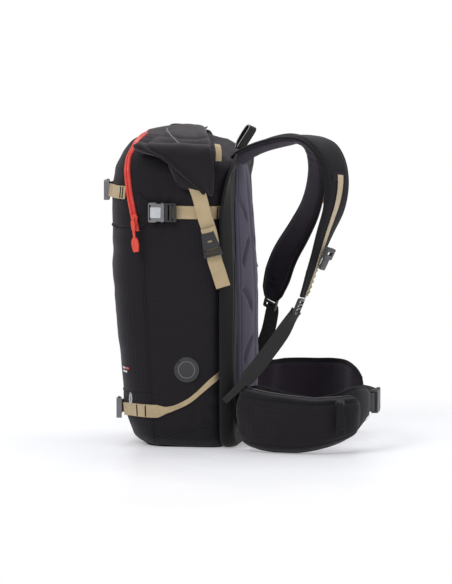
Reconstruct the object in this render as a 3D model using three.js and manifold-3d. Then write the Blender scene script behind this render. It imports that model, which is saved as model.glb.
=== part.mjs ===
// Avalanche airbag backpack: a hollow roll-top pack with a foam back panel, shoulder harness,
// padded hip belt and the gas-fired airbag system it carries.
// Millimetres, +Z up. +X is the way the wearer faces, +Y is the wearer's left.
// The parts are laid out from the point on the ground, at mid-width, in the plane where the back
// panel meets the pack. The finished group is then moved so that its origin is under the bag's base.
import * as THREE from "three";
import { mergeVertices } from "three/addons/utils/BufferGeometryUtils.js";
import Module from "manifold-3d";

const wasm = await Module();
wasm.setup();

// ---------- driving dimensions ----------
const BAG_TOP = 508; // height of the pack's sewn roof
const BASE_TO_BACK = 100; // from the origin under the base to the back panel's plane
const BAG_REAR = -26; // plane where the fabric bag meets the back gusset
const CLOTH = 3; // thickness of the bag's fabric with its lining
const GAP = 0.4; // clearance between sewn neighbours
const BASE_SEAM = 34; // height of the seam between base and sides
const FLAP_SEAM = 372; // height of the hinge line of the front flap
const FRONT_SEAM = -160; // where the lower front panel meets the sides
const WEBBING = 22; // width of the straps round the pack
const WIDE_WEBBING = 25; // width of the roll-top's and the shoulder straps' webbing
const WEBBING_THICK = 1.8;
const BELT_WEBBING = 30; // width of the hip belt's strap
const GUSSET_FRONT = BAG_REAR + GAP;
const GUSSET_BACK = -GAP;
const PANEL_EDGE = 3; // back panel foam at its rim, and at mid-width
const PANEL_CROWN = 14;
const STRAP_THICK = 13; // shoulder strap padding
const WING_THICK = 13; // hip belt padding
const SIDE_STRAP_HEIGHT = 401; // upper compression strap
const FRONT_STRAP_HEIGHT = 432; // strap across the front flap
const LOWER_STRAP_HEIGHT = 63; // strap across the bottom of the front panel
const STRAP_LIFT = 2.4; // from the bag's wall to the middle of a strap round it
const STRAP_CORNER = 128; // distance from mid-width where a strap has turned the bag's corner
const GUSSET_REACH = 139; // half width of the pack at the gusset's lower corners

// Height against front edge, and height against half width, of the packed bag.
const BAG_FRONT = [
  [0, -168], [14, -188], [58, -203], [200, -214], [300, -223], [430, -224], [470, -216], [495, -200],
  [BAG_TOP, -182],
];
const BAG_HALF_WIDTH = [
  [0, 112], [14, 131], [58, 140], [150, 145], [300, 147], [430, 145], [470, 138], [495, 128],
  [BAG_TOP, 117],
];
// Powers of the superellipse arcs of the bag's cross-section: rounder at the front than at the back.
const FRONT_POWER = 3.4;
const REAR_POWER = 9;
const BAG_RING_HEIGHTS = [0, 14, 58, 140, 230, 320, 400, 450, 480, 498, BAG_TOP];
const GUSSET_HALF_WIDTH = [[5, 112], [20, 132], [60, 138], [250, 141], [430, 139], [470, 126], [499, 88]];
const PANEL_HALF_WIDTH = [[16, 80], [40, 90], [150, 98], [300, 100], [400, 92], [450, 72], [482, 44]];
// The front flap's edge, as depth against height: the zip runs along it, this far behind, and crosses
// the roof at one depth.
const FLAP_EDGE = [[FLAP_SEAM, -176], [400, -178], [440, -184], [468, -187], [490, -184], [BAG_TOP, -178]];
const ZIP_HALF = 6;
const ZIP_BEHIND = ZIP_HALF + 1;
const ZIP_ROOF_DEPTH = -171.5;
const BEYOND = 400; // farther out than anything on the pack

// ---------- colours ----------
function matter(color, roughness, metalness = 0) {
  return new THREE.MeshStandardMaterial({ color, roughness, metalness });
}

const blackCloth = matter(0x2a282c, 0.9);
const foam = matter(0x4d4a58, 0.8);
const blackWeb = matter(0x1c1b1e, 0.85);
const tanWeb = matter(0xbfa078, 0.85);
const blackPlastic = matter(0x2b2d31, 0.45);
const redPlastic = matter(0xe0402c, 0.5);
const redTape = matter(0xc9382a, 0.7);
const sheetPlastic = matter(0xd8d8d4, 0.5);
const aluminium = matter(0xb5b8bc, 0.3, 1);
const cylinderPaint = matter(0x9aa0a6, 0.35, 0.6);
const airbagNylon = matter(0xe2661c, 0.8);
const rubber = matter(0x1a1a1a, 0.7);

// ---------- geometry helpers ----------
const v3 = (x, y, z) => new THREE.Vector3(x, y, z);
const lerp = THREE.MathUtils.lerp;
const rad = THREE.MathUtils.degToRad;

// Value of a [key, value] table at a key, straight between its rows.
function read(table, key) {
  if (key <= table[0][0]) return table[0][1];
  for (let i = 1; i < table.length; i++) {
    const [k0, a] = table[i - 1];
    const [k1, b] = table[i];
    if (key <= k1) return lerp(a, b, (key - k0) / (k1 - k0));
  }
  return table[table.length - 1][1];
}

// The closed mesh of a geometry as a manifold solid, with its shared vertices merged.
function solidOf(geometry) {
  const positions = geometry.getAttribute("position").clone();
  const bare = new THREE.BufferGeometry().setAttribute("position", positions);
  if (geometry.index) bare.setIndex(geometry.index);
  const merged = mergeVertices(bare, 1e-3);
  return new wasm.Manifold(
    new wasm.Mesh({
      numProp: 3,
      vertProperties: merged.attributes.position.array,
      triVerts: new Uint32Array(merged.index.array),
    }),
  );
}

function geometryOf(solid) {
  const mesh = solid.getMesh();
  return new THREE.BufferGeometry()
    .setAttribute("position", new THREE.BufferAttribute(new Float32Array(mesh.vertProperties), 3))
    .setIndex(new THREE.BufferAttribute(new Uint32Array(mesh.triVerts), 1));
}

function cut(body, ...tools) {
  return geometryOf(tools.reduce((solid, tool) => solid.subtract(solidOf(tool)), solidOf(body)));
}

function join(body, ...more) {
  return geometryOf(more.reduce((solid, other) => solid.add(solidOf(other)), solidOf(body)));
}

function common(body, tool) {
  return geometryOf(solidOf(body).intersect(solidOf(tool)));
}

// A box between two corners.
function block(x0, y0, z0, x1, y1, z1) {
  const box = new THREE.BoxGeometry(x1 - x0, y1 - y0, z1 - z0);
  return box.translate((x0 + x1) / 2, (y0 + y1) / 2, (z0 + z1) / 2);
}

function outlineOf(points) {
  return new THREE.Shape(points.map(([x, y]) => new THREE.Vector2(x, y)));
}

// An outline that is symmetric about its x axis, from the points of its upper half.
function mirroredOutline(upper) {
  return outlineOf([...upper, ...upper.map(([x, y]) => [x, -y]).reverse()]);
}

// A closed solid through rings of equal point count, with flat ends.
function loft(rings) {
  const n = rings[0].length;
  const last = (rings.length - 1) * n;
  const index = [];
  for (let r = 0; r + 1 < rings.length; r++) {
    for (let i = 0; i < n; i++) {
      const a = r * n + i;
      const b = r * n + ((i + 1) % n);
      index.push(a, b, a + n, b, b + n, a + n);
    }
  }
  for (let i = 1; i + 1 < n; i++) index.push(0, i + 1, i, last, last + i, last + i + 1);
  const positions = rings.flat().flatMap((p) => [p.x, p.y, p.z]);
  if (signedVolume(positions, index) < 0) index.reverse();
  return new THREE.BufferGeometry()
    .setAttribute("position", new THREE.Float32BufferAttribute(positions, 3))
    .setIndex(index);
}

// Positive where the faces point outwards.
function signedVolume(positions, index) {
  const corner = (i) => new THREE.Vector3().fromArray(positions, 3 * index[i]);
  let sum = 0;
  for (let i = 0; i < index.length; i += 3) {
    sum += corner(i).dot(corner(i + 1).cross(corner(i + 2)));
  }
  return sum / 6;
}

// A ribbon or pad through stations {p: centre, n: outward normal, half: half width, t: thickness}.
// Its long edges are bevelled by the given amount.
function ribbon(stations, bevel = 0) {
  const rings = stations.map((s, i) => {
    const before = stations[Math.max(0, i - 1)].p;
    const after = stations[Math.min(stations.length - 1, i + 1)].p;
    const along = after.clone().sub(before).normalize();
    const across = along.clone().cross(s.n).normalize();
    const out = across.clone().cross(along).normalize();
    const h = s.half;
    const t = s.t / 2;
    const square = [[h, -t], [h, t], [-h, t], [-h, -t]];
    const bevelled = [
      [h, bevel - t], [h, t - bevel], [h - bevel, t], [bevel - h, t],
      [-h, t - bevel], [-h, bevel - t], [bevel - h, -t], [h - bevel, -t],
    ];
    const outline = bevel ? bevelled : square;
    return outline.map(([a, b]) => s.p.clone().addScaledVector(across, a).addScaledVector(out, b));
  });
  return loft(rings);
}

function smoothCurve(points) {
  return new THREE.CatmullRomCurve3(points, false, "centripetal");
}

// A round tube along a smooth curve through points.
function tube(points, radius, steps) {
  const circle = new THREE.Shape().absarc(0, 0, radius, 0, 2 * Math.PI, false);
  return new THREE.ExtrudeGeometry(circle, { extrudePath: smoothCurve(points), steps, curveSegments: 8 });
}

// Turns a shape's own x, y and depth into the pack's y, z and x.
const UPRIGHT = new THREE.Matrix4().makeBasis(v3(0, 1, 0), v3(0, 0, 1), v3(1, 0, 0));

// A flat outline in the YZ plane, made solid from x0 to x1.
function slabAlongX(shape, x0, x1) {
  const slab = new THREE.ExtrudeGeometry(shape, { depth: x1 - x0, bevelEnabled: false, curveSegments: 10 });
  return slab.applyMatrix4(UPRIGHT).translate(x0, 0, 0);
}

// A flat outline made solid about z = 0, with the given thickness.
function plate(shape, thickness) {
  const options = { depth: thickness, bevelEnabled: false, curveSegments: 5 };
  return new THREE.ExtrudeGeometry(shape, options).translate(0, 0, -thickness / 2);
}

// A symmetric outline in the YZ plane from a height against half width table.
function symmetricShape(table, inset = 0) {
  const right = table.map(([z, w], i) => {
    const up = i === 0 ? inset : i === table.length - 1 ? -inset : 0;
    return [w - inset, z + up];
  });
  const left = right.map(([y, z]) => [-y, z]).reverse();
  return outlineOf([...right, ...left]);
}

function roundedRect(x0, y0, x1, y1, r) {
  const s = new THREE.Shape();
  s.absarc(x1 - r, y1 - r, r, 0, Math.PI / 2);
  s.absarc(x0 + r, y1 - r, r, Math.PI / 2, Math.PI);
  s.absarc(x0 + r, y0 + r, r, Math.PI, 1.5 * Math.PI);
  s.absarc(x1 - r, y0 + r, r, 1.5 * Math.PI, 2 * Math.PI);
  return s;
}

function add(parent, name, geometry, material) {
  const mesh = new THREE.Mesh(geometry, material);
  mesh.name = name;
  parent.add(mesh);
  return mesh;
}

// A group at a place, whose own x runs along a direction and whose own z points out.
function placed(parent, position, along, out) {
  const x = along.clone().normalize();
  const y = out.clone().cross(x).normalize();
  const group = new THREE.Group();
  group.position.copy(position);
  group.quaternion.setFromRotationMatrix(new THREE.Matrix4().makeBasis(x, y, x.clone().cross(y)));
  parent.add(group);
  return group;
}

const pack = new THREE.Group();

// ---------- the bag ----------
// One point of the bag's cross-section: squarish at the harness side, rounder at the front.
function bagPoint(z, angle, grow = 0) {
  const front = read(BAG_FRONT, z) - grow;
  const half = read(BAG_HALF_WIDTH, z) + grow;
  const middle = (front + BAG_REAR) / 2;
  const c = Math.cos(angle);
  const s = Math.sin(angle);
  const power = 2 / (c < 0 ? FRONT_POWER : REAR_POWER);
  const reach = c < 0 ? middle - front : BAG_REAR - middle;
  const x = middle + Math.sign(c) * Math.abs(c) ** power * reach;
  return v3(x, Math.sign(s) * Math.abs(s) ** power * half, z);
}

// Outward direction of the bag's side wall at that point.
function bagNormal(z, angle) {
  const step = 0.01;
  const along = bagPoint(z, angle + step).sub(bagPoint(z, angle - step));
  return v3(along.y, -along.x, 0).normalize();
}

function bagSolid(grow, heights) {
  const angles = Array.from({ length: 40 }, (_, i) => (i / 40) * 2 * Math.PI);
  return loft(heights.map((z) => angles.map((angle) => bagPoint(z, angle, grow))));
}

// The bag's cloth as one shell, open towards the back and at the mouth under the roll-top.
function bagShell() {
  const hollow = bagSolid(-CLOTH, [CLOTH, ...BAG_RING_HEIGHTS.slice(1, -1)]);
  const openBack = block(-150, -118, 20, BAG_REAR + 1, 118, 470);
  const mouth = block(-160, -105, 460, -66, 105, BAG_TOP + 5);
  return cut(bagSolid(0, BAG_RING_HEIGHTS), join(hollow, openBack, mouth));
}

function addBag() {
  const shell = bagShell();
  const below = block(-BEYOND, -BEYOND, -1, BEYOND, BEYOND, BASE_SEAM);
  add(pack, "base_panel", common(shell, below), blackCloth);
  const between = (x0, x1, y0, y1) => block(x0, y0, BASE_SEAM + GAP, x1, y1, FLAP_SEAM - GAP);
  const front = between(-BEYOND, FRONT_SEAM, -BEYOND, BEYOND);
  add(pack, "front_panel", common(shell, front), blackCloth);
  for (const [side, y0, y1] of [["right", -BEYOND, -GAP / 2], ["left", GAP / 2, BEYOND]]) {
    const low = between(FRONT_SEAM + GAP, BEYOND, y0, y1);
    const high = flapSlab(BEYOND, GAP, y0, y1, FLAP_SEAM - GAP);
    add(pack, `side_panel_${side}`, common(shell, join(low, high)), blackCloth);
  }
  const flapBody = new THREE.Group();
  pack.add(flapBody);
  const hood = flapSlab(-BEYOND, 0, -BEYOND, BEYOND, FLAP_SEAM + GAP);
  add(flapBody, "front_flap", common(shell, hood), blackCloth);
  return flapBody;
}

// Everything on one side of the flap's edge: out to endX, from y0 to y1 and up from a height.
function flapSlab(endX, offset, y0, y1, bottom) {
  const edge = FLAP_EDGE.map(([z, x], i) => [x + offset, i ? z : bottom]);
  const top = BAG_TOP + 1;
  const outline = outlineOf([...edge, [edge.at(-1)[0], top], [endX, top], [endX, bottom]]);
  const slab = new THREE.ExtrudeGeometry(outline, { depth: y1 - y0, bevelEnabled: false });
  return slab.rotateX(Math.PI / 2).translate(0, y1, 0);
}

// How far the bag's wall stands from mid-width, at a depth in its front half and a height.
function wallReach(x, z) {
  const front = read(BAG_FRONT, z);
  const middle = (front + BAG_REAR) / 2;
  const share = Math.min(1, Math.max(0, (middle - x) / (middle - front)));
  return read(BAG_HALF_WIDTH, z) * (1 - share ** FRONT_POWER) ** (1 / FRONT_POWER);
}

// The red zip runs up one side of the flap, over the top and down the other side, just behind its edge.
function addFrontZip() {
  const thick = 2.6;
  const shoulder = [499, -181]; // height and depth where the zip turns in over the roof
  const side = (sign) =>
    [...FLAP_EDGE.slice(0, -1), shoulder].map(([z, edge]) => {
      const x = edge + ZIP_BEHIND;
      return v3(x, sign * (wallReach(x, z) + thick), z);
    });
  const over = [-76, -40, 0, 40, 76].map((y) => v3(ZIP_ROOF_DEPTH, y, BAG_TOP + 3));
  const curve = smoothCurve([...side(-1), ...over, ...side(1).reverse()]);
  const middle = v3(-110, 0, 420);
  const stations = curve.getPoints(40).map((p) => {
    return { p, n: p.clone().sub(middle).normalize(), half: ZIP_HALF, t: thick };
  });
  const clearance = bagSolid(GAP, BAG_RING_HEIGHTS);
  const raised = clearance.clone().translate(0, 0, GAP);
  const flapSide = flapSlab(-BEYOND, 0.5, -BEYOND, BEYOND, 300);
  add(pack, "front_zip", cut(ribbon(stations, 0.8), join(clearance, raised), flapSide), redTape);
}

// ---------- buckles ----------
// A side-release buckle. The socket lies behind its mouth at x = 0, and the plug leaves along +x.
const SOCKET_OUTLINE = [
  [0, 14.5], [-4, 16.5], [-6, 14.6], [-13, 14.6], [-15, 16.5], [-25, 16.5], [-27, 14.5],
];
// The plug's centre guide, one prong with its catch, and the frame that holds the webbing.
const PLUG_OUTLINE = [
  [-12, 2.2], [0.6, 3.2],
  [0.6, 7.6], [-9, 8.2], [-16, 9.4], [-17.6, 11.4], [-14.6, 15.4], [-7, 15.4], [-5, 12.8],
  [1, 12.8], [1, 15.6], [19, 15.6], [20.5, 14],
];
const SOCKET_THICK = 9;
const PLUG_THICK = 4.6;

// A slot through a buckle, from x to x + width, wide enough for the webbing.
function webbingSlot(x, width) {
  return block(x, -13, -6, x + width, 13, 6);
}

function socketGeometry() {
  const roof = PLUG_THICK / 2 + 0.3;
  const depth = 18.5;
  const rib = (y) => block(-depth - 0.3, y - 0.9, -roof - 0.2, -1, y + 0.9, roof + 0.2);
  const cavity = cut(block(-depth, -20, -roof, 1, 20, roof), rib(5.4), rib(-5.4));
  return cut(plate(mirroredOutline(SOCKET_OUTLINE), SOCKET_THICK), cavity, webbingSlot(-25.2, 2.6));
}

function plugGeometry() {
  return cut(plate(mirroredOutline(PLUG_OUTLINE), PLUG_THICK), webbingSlot(6, 2.6), webbingSlot(13, 2.6));
}

// Adds both halves of a buckle at a place.
function addBuckle(parent, names, position, along, out, size = 1) {
  const group = placed(parent, position, along, out);
  add(group, names.socket, socketGeometry().scale(size, size, size), blackPlastic);
  add(group, names.plug, plugGeometry().scale(size, size, size), blackPlastic);
}

// ---------- straps on the bag ----------
// Stations of a strap that goes round the bag at one height, between two angles.
function wrap(z, from, to, steps) {
  return Array.from({ length: steps + 1 }, (_, i) => {
    const angle = lerp(from, to, i / steps);
    const p = bagPoint(z, angle, STRAP_LIFT);
    return { p, n: bagNormal(z, angle), half: WEBBING / 2, t: WEBBING_THICK };
  });
}

// Angle of the bag's cross-section where it passes a given distance from mid-width, on its front half.
function frontAngle(z, y) {
  const share = Math.min(1, Math.abs(y) / read(BAG_HALF_WIDTH, z));
  return Math.PI - Math.sign(y) * Math.asin(share ** (FRONT_POWER / 2));
}

// A strap across the front: a short piece with the socket, and a long piece that carries the plug.
// Each may go on along the side of the bag.
function addFrontStrap(parent, prefix, z, buckleY, sideTail = () => []) {
  const bag = bagSolid(GAP, BAG_RING_HEIGHTS);
  const buckleLift = 8.5;
  const out = bagNormal(z, frontAngle(z, buckleY));
  const mouth = bagPoint(z, frontAngle(z, buckleY), buckleLift);
  const names = { socket: `${prefix}_buckle_socket`, plug: `${prefix}_buckle_plug` };
  addBuckle(parent, names, mouth, v3(out.y, -out.x, 0), out);
  const piece = (side, sign, fromY, steps) => {
    const round = wrap(z, frontAngle(z, fromY), frontAngle(z, sign * STRAP_CORNER), steps);
    const strap = ribbon([...round, ...sideTail(sign)]);
    add(parent, `${prefix}_strap_${side}`, cut(strap, bag), tanWeb);
  };
  piece("right", -1, buckleY - 27, 8);
  piece("left", 1, buckleY + 24, 14);
}

// The lower strap's tail narrows and curves up along the side: depth, rise and half width.
const WIDE_HALF = WEBBING / 2;
const NARROW_HALF = 4;
const LOWER_TAIL = [
  [-150, 0, WIDE_HALF], [-131, 0, WIDE_HALF], [-120, 3, NARROW_HALF + 1], [-95, 10, NARROW_HALF],
  [-77, 20, NARROW_HALF], [-60, 34, NARROW_HALF], [-43, 50, NARROW_HALF], [-28, 62, NARROW_HALF + 1],
  [-18, 68, NARROW_HALF + 3],
];

function lowerTail(sign) {
  return LOWER_TAIL.map(([x, rise, half]) => {
    const z = LOWER_STRAP_HEIGHT + rise;
    const reach = Math.max(wallReach(x, z), GUSSET_REACH) + 2.2;
    return { p: v3(x, sign * reach, z), n: v3(0, sign, 0), half, t: WEBBING_THICK };
  });
}

// The upper compression strap: a socket on a sewn tab, and a plug on a strap that ends under the gusset.
function addSideCompression(side, sign) {
  const z = SIDE_STRAP_HEIGHT;
  const wall = sign * read(BAG_HALF_WIDTH, z);
  const position = v3(-119, wall + sign * 5.6, z);
  const names = { socket: `compression_socket_${side}`, plug: `compression_plug_${side}` };
  addBuckle(pack, names, position, v3(1, 0, 0), v3(0, sign, 0));
  const strap = [-96, -80, -64].map((x) => {
    return { p: v3(x, wall + sign * 1.6, z), n: v3(0, sign, 0), half: WEBBING / 2, t: WEBBING_THICK };
  });
  add(pack, `compression_strap_${side}`, ribbon(strap), tanWeb);
}

// ---------- roll-top closure ----------
function addRollTop() {
  const half = 132;
  const seat = BAG_TOP + GAP;
  const profile = [[-163, 0], [-157, 14], [-135, 25], [-100, 31], [-72, 32], [-62, 29], [-60, 17], [-62, 0]];
  const endDrop = 0.72; // share of its height that the roll loses towards each end
  const rings = [-1, -0.9, -0.5, 0, 0.5, 0.9, 1].map((share) => {
    const height = 1 - endDrop * share ** 2;
    return profile.map(([x, rise]) => v3(x, share * half, seat + rise * height));
  });
  add(pack, "roll_top", loft(rings), blackCloth);
}

// Each end of the roll folds down the side about this line, and is held there by a strap with a hook.
const ROLL_FOLD = { y: 146, z: 520 };
// The folded cloth below the fold: drop, front and rear depth, and thickness.
const ROLL_END = [
  { drop: 2, front: -163, rear: -47, thick: 10 },
  { drop: 30, front: -140, rear: -40, thick: 11 },
  { drop: 62, front: -110, rear: -34, thick: 10 },
  { drop: 92, front: -78, rear: -31, thick: 7 },
];
// The strap that hangs from its tip: depth, drop, and distance out from the fold.
const ROLL_STRAP = [[-56, 95, 8], [-50, 124, 8], [-44, 142, 5], [-34, 194, 5], [-26, 218, 8], [-18, 243, 8]];

function addRollEnd(side, sign) {
  const end = new THREE.Group();
  end.position.set(0, sign * ROLL_FOLD.y, ROLL_FOLD.z);
  pack.add(end);
  const near = sign * 4;
  const rings = ROLL_END.map(({ drop, front, rear, thick }) => {
    const far = near + sign * thick;
    return [v3(front, near, -drop), v3(rear, near, -drop), v3(rear, far, -drop), v3(front + 8, far, -drop)];
  });
  add(end, `roll_end_${side}`, loft(rings), blackCloth);
  const stations = ROLL_STRAP.map(([x, drop, y]) => {
    return { p: v3(x, sign * y, -drop), n: v3(0, sign, 0), half: WIDE_WEBBING / 2, t: WEBBING_THICK };
  });
  add(end, `roll_strap_${side}`, ribbon(stations), tanWeb);
  const hook = placed(end, v3(-40, sign * 10, -168), v3(0.25, 0, -0.97), v3(0, sign, 0));
  const body = plate(mirroredOutline([[-24, 10], [24, 16]]), 6);
  const slot = (x, half) => block(x - 1.6, -half, -5, x + 1.6, half, 5);
  const slots = [slot(-19, 8), slot(-2, 4), slot(12, 12.6), slot(19, 12.6)];
  add(hook, `roll_hook_${side}`, cut(body, ...slots), blackPlastic);
}

// ---------- back: gusset, frame, foam ----------
function addBack() {
  const gusset = symmetricShape(GUSSET_HALF_WIDTH);
  gusset.holes.push(new THREE.Path(symmetricShape(GUSSET_HALF_WIDTH, 7).getPoints().reverse()));
  add(pack, "back_gusset", slabAlongX(gusset, GUSSET_FRONT, GUSSET_BACK), blackCloth);
  add(pack, "frame_sheet", slabAlongX(symmetricShape(GUSSET_HALF_WIDTH, 9), -5, -2.2), sheetPlastic);
  const last = PANEL_HALF_WIDTH.length - 1;
  const panel = loft(PANEL_HALF_WIDTH.map(([z, half], i) => panelRing(z, half, i === 0 || i === last)));
  const grooves = CHEVRONS.flatMap(([z, tilt]) => [panelGroove(1, z, tilt), panelGroove(-1, z, tilt)]);
  add(pack, "back_panel", cut(panel, ...grooves), foam);
}

// Height and slope of the pairs of grooves in the back panel.
const CHEVRONS = [[402, 38], [330, -38], [250, 38]];

function panelGroove(sign, z, tilt) {
  const bar = new THREE.BoxGeometry(7, 60, 7).rotateX(rad(sign * tilt)).rotateZ(rad(-sign * 9));
  return bar.translate(PANEL_EDGE + 8, sign * 50, z);
}

// One level section of the crowned back panel, thinner where it ends at top and bottom.
function panelRing(z, halfWidth, isEnd) {
  const crown = isEnd ? PANEL_EDGE + 2 : PANEL_CROWN;
  const front = Array.from({ length: 11 }, (_, i) => {
    const share = (i - 5) / 5;
    return v3(lerp(crown, PANEL_EDGE, share ** 2), share * halfWidth, z);
  });
  return [v3(0, -halfWidth, z), ...front, v3(0, halfWidth, z)];
}

function addHaulLoop() {
  const group = new THREE.Group();
  group.position.set(-10, 0, 504);
  pack.add(group);
  const points = [[2, 6], [0, 18], [9, 34], [20, 38], [24, 28], [14, 14], [7, 6]];
  const curve = smoothCurve(points.map(([x, z]) => v3(x, 0, z)));
  const steps = 14;
  const stations = Array.from({ length: steps + 1 }, (_, i) => {
    const tangent = curve.getTangent(i / steps);
    return { p: curve.getPoint(i / steps), n: v3(-tangent.z, 0, tangent.x), half: 9, t: 2 };
  });
  add(group, "haul_loop", ribbon(stations), blackWeb);
}

// ---------- shoulder harness ----------
// Middle points of each strap's pad, from its root over the shoulder and down. A point's tilt, in
// degrees, turns the pad's outer face towards that side of the wearer.
const STRAP_RIGHT = {
  points: [
    [6, -52, 494], [34, -58, 507], [75, -66, 518], [112, -75, 522], [142, -84, 509], [159, -92, 484],
    [166, -98, 447], [164, -103, 408], [156, -107, 368], [140, -110, 330], [124, -112, 292],
    [110, -114, 257],
  ],
  tilts: [8, 12, 15, 20, 28, 33, 35, 33, 27, 20, 14, 8],
  railStart: 0.46,
  clip: 0.8,
};
const STRAP_LEFT = {
  points: [
    [6, 52, 494], [34, 58, 505], [66, 66, 510], [90, 76, 500], [102, 86, 474], [103, 95, 434],
    [92, 104, 390], [70, 113, 348], [45, 121, 304], [31, 126, 266], [24, 129, 240],
  ],
  tilts: [8, 12, 15, 22, 30, 36, 40, 46, 52, 55, 50],
  railStart: 0.68,
  clip: 0.82,
};
const STRAP_HALF_WIDTH = [[0, 27], [0.25, 31], [0.65, 31], [0.85, 24], [1, 15]];
const STRAP_STEPS = 22;

// Stations along a strap, between two shares of its length. Lift is measured from its middle outward.
// Where no half width is given, they have the pad's own.
function strapStations({ points, tilts }, sign, from, to, steps, lift, half, t) {
  const curve = smoothCurve(points.map((p) => v3(...p)));
  return Array.from({ length: steps + 1 }, (_, i) => {
    const u = lerp(from, to, i / steps);
    const place = u * (tilts.length - 1);
    const k = Math.min(tilts.length - 2, Math.floor(place));
    const tilt = rad(lerp(tilts[k], tilts[k + 1], place - k));
    const tangent = curve.getTangent(u);
    const radial = tangent.clone().cross(v3(0, 1, 0)).normalize();
    const out = radial.multiplyScalar(Math.cos(tilt)).add(v3(0, sign * Math.sin(tilt), 0));
    out.addScaledVector(tangent, -out.dot(tangent)).normalize();
    const p = curve.getPoint(u).addScaledVector(out, lift);
    return { p, n: out, half: half ?? read(STRAP_HALF_WIDTH, u), t, along: tangent };
  });
}

function ladderLock() {
  const body = plate(roundedRect(-15, -15.5, 13, 15.5, 3), 5);
  const slot = (x, width) => block(x, -12.9, -4, x + width, 12.9, 4);
  return cut(body, slot(-11, 4.5), slot(-3, 3.5), slot(4, 4.5));
}

// One place on a strap: its point, outward direction and direction along.
function strapPlace(shape, sign, share, lift) {
  const [place] = strapStations(shape, sign, share, share, 1, lift, 1, 1);
  return place;
}

function addShoulderStrap(side, sign, shape) {
  const body = new THREE.Group();
  pack.add(body);
  const pad = strapStations(shape, sign, 0, 1, STRAP_STEPS, 0, null, STRAP_THICK);
  add(body, `shoulder_strap_${side}`, ribbon(pad, 4), blackCloth);
  const face = STRAP_THICK / 2;
  const rail = strapStations(shape, sign, shape.railStart, 1, 18, face + 1.9, 10, 1.6);
  add(body, `strap_rail_${side}`, ribbon(rail), tanWeb);
  const end = strapPlace(shape, sign, 1, 0);
  const lock = placed(body, end.p.clone().addScaledVector(end.along, 17), end.along, end.n);
  add(lock, `ladder_lock_${side}`, ladderLock(), blackPlastic);
  const seat = strapPlace(shape, sign, shape.clip, face + 7.4);
  const clip = placed(body, seat.p, seat.along, seat.n);
  const slider = cut(plate(roundedRect(-10, -14, 10, 14, 3), 6), block(-3, -8, -4, 3, 8, 4));
  const tongue = plate(roundedRect(8, -9, 30, 9, 3), 4);
  add(clip, `sternum_clip_${side}`, join(slider, tongue), blackPlastic);
  return body;
}

// The webbing from a ladder lock down to the pack's lower corner, where it narrows into the gusset.
const LOWER_WEBBING = {
  right: [
    { p: [94, -118, 222], n: [0.9, -0.2, 0.3] },
    { p: [60, -130, 184], n: [0.5, -0.7, 0.5] },
    { p: [22, -149, 128], n: [0.1, -1, 0.1] },
    { p: [2, -151, 116], n: [0, -1, 0] },
    { p: [-14, -151, 108], n: [0, -1, 0], half: 6 },
  ],
  left: [
    { p: [20, 138, 204], n: [0.3, 0.9, 0] },
    { p: [12, 145, 170], n: [0.2, 1, 0] },
    { p: [-2, 151, 134], n: [0, 1, 0] },
    { p: [-14, 151, 106], n: [0, 1, 0], half: 5 },
  ],
};

function addShoulderWebbing(side) {
  const stations = LOWER_WEBBING[side].map(({ p, n, half = WIDE_WEBBING / 2 }) => {
    return { p: v3(...p), n: v3(...n), half, t: 2 };
  });
  add(pack, `shoulder_webbing_${side}`, ribbon(stations), blackWeb);
}

// The handle of the airbag's trigger lies along the left strap's outer face.
function addTrigger(strapBody) {
  const seat = strapPlace(STRAP_LEFT, 1, 0.5, STRAP_THICK / 2 + 10.5);
  const group = placed(strapBody, seat.p, seat.along, seat.n);
  const grip = new THREE.CapsuleGeometry(9, 62, 4, 12).rotateZ(Math.PI / 2);
  const stem = new THREE.CylinderGeometry(3, 3, 22, 10).rotateZ(Math.PI / 2).translate(-44, 0, 0);
  add(group, "trigger_handle", join(grip, stem), redPlastic);
}

// ---------- hip belt ----------
// Stations of each wing's middle: [x, y, bottom, top].
const WING_RIGHT = [
  [16, -120, 24, 96], [34, -142, 8, 105], [64, -160, 1, 107], [104, -168, 0, 106], [144, -162, 8, 105],
  [178, -145, 20, 104], [200, -119, 36, 102], [211, -90, 48, 98], [216, -62, 54, 94],
];
const WING_LEFT = [
  [16, 120, 24, 104], [34, 142, 12, 114], [64, 158, 8, 121], [98, 164, 10, 124], [128, 155, 16, 123],
  [150, 134, 27, 120], [166, 108, 40, 112], [182, 84, 50, 102],
];
// Centre and radius of the arc the right pocket's outer face and zip follow.
const POCKET_CENTRE = v3(104, -50, 0);
const POCKET_RADIUS = 150;
const POCKET_ZIP_HEIGHT = 88;
const BELT_HEIGHT = 74; // middle of the hip belt's strap and buckle

// Rings of an upright slab along a wing, between two offsets from its middle.
function wingRings(wing, sign, from, to, steps, inner, outer, trimTop) {
  const path = smoothCurve(wing.map(([x, y]) => v3(x, y, 0)));
  const heights = new THREE.CatmullRomCurve3(wing.map(([, , low, high], i) => v3(low, high, i)));
  return Array.from({ length: steps + 1 }, (_, i) => {
    const u = lerp(from, to, i / steps);
    const p = path.getPoint(u);
    const tangent = path.getTangent(u);
    const out = v3(tangent.y, -tangent.x, 0).multiplyScalar(-sign).normalize();
    const { x: z0, y: high } = heights.getPoint(u);
    const z1 = high - trimTop;
    const bulge = outer(u);
    const trim = Math.min(4, (bulge - inner) / 3);
    const corner = (offset, z) => v3(p.x + out.x * offset, p.y + out.y * offset, z);
    return [
      corner(inner, z0 + trim),
      corner(inner, z1 - trim),
      corner(inner + trim, z1),
      corner(bulge - trim, z1),
      corner(bulge, z1 - trim),
      corner(bulge, z0 + trim),
      corner(bulge - trim, z0),
      corner(inner + trim, z0),
    ];
  });
}

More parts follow.
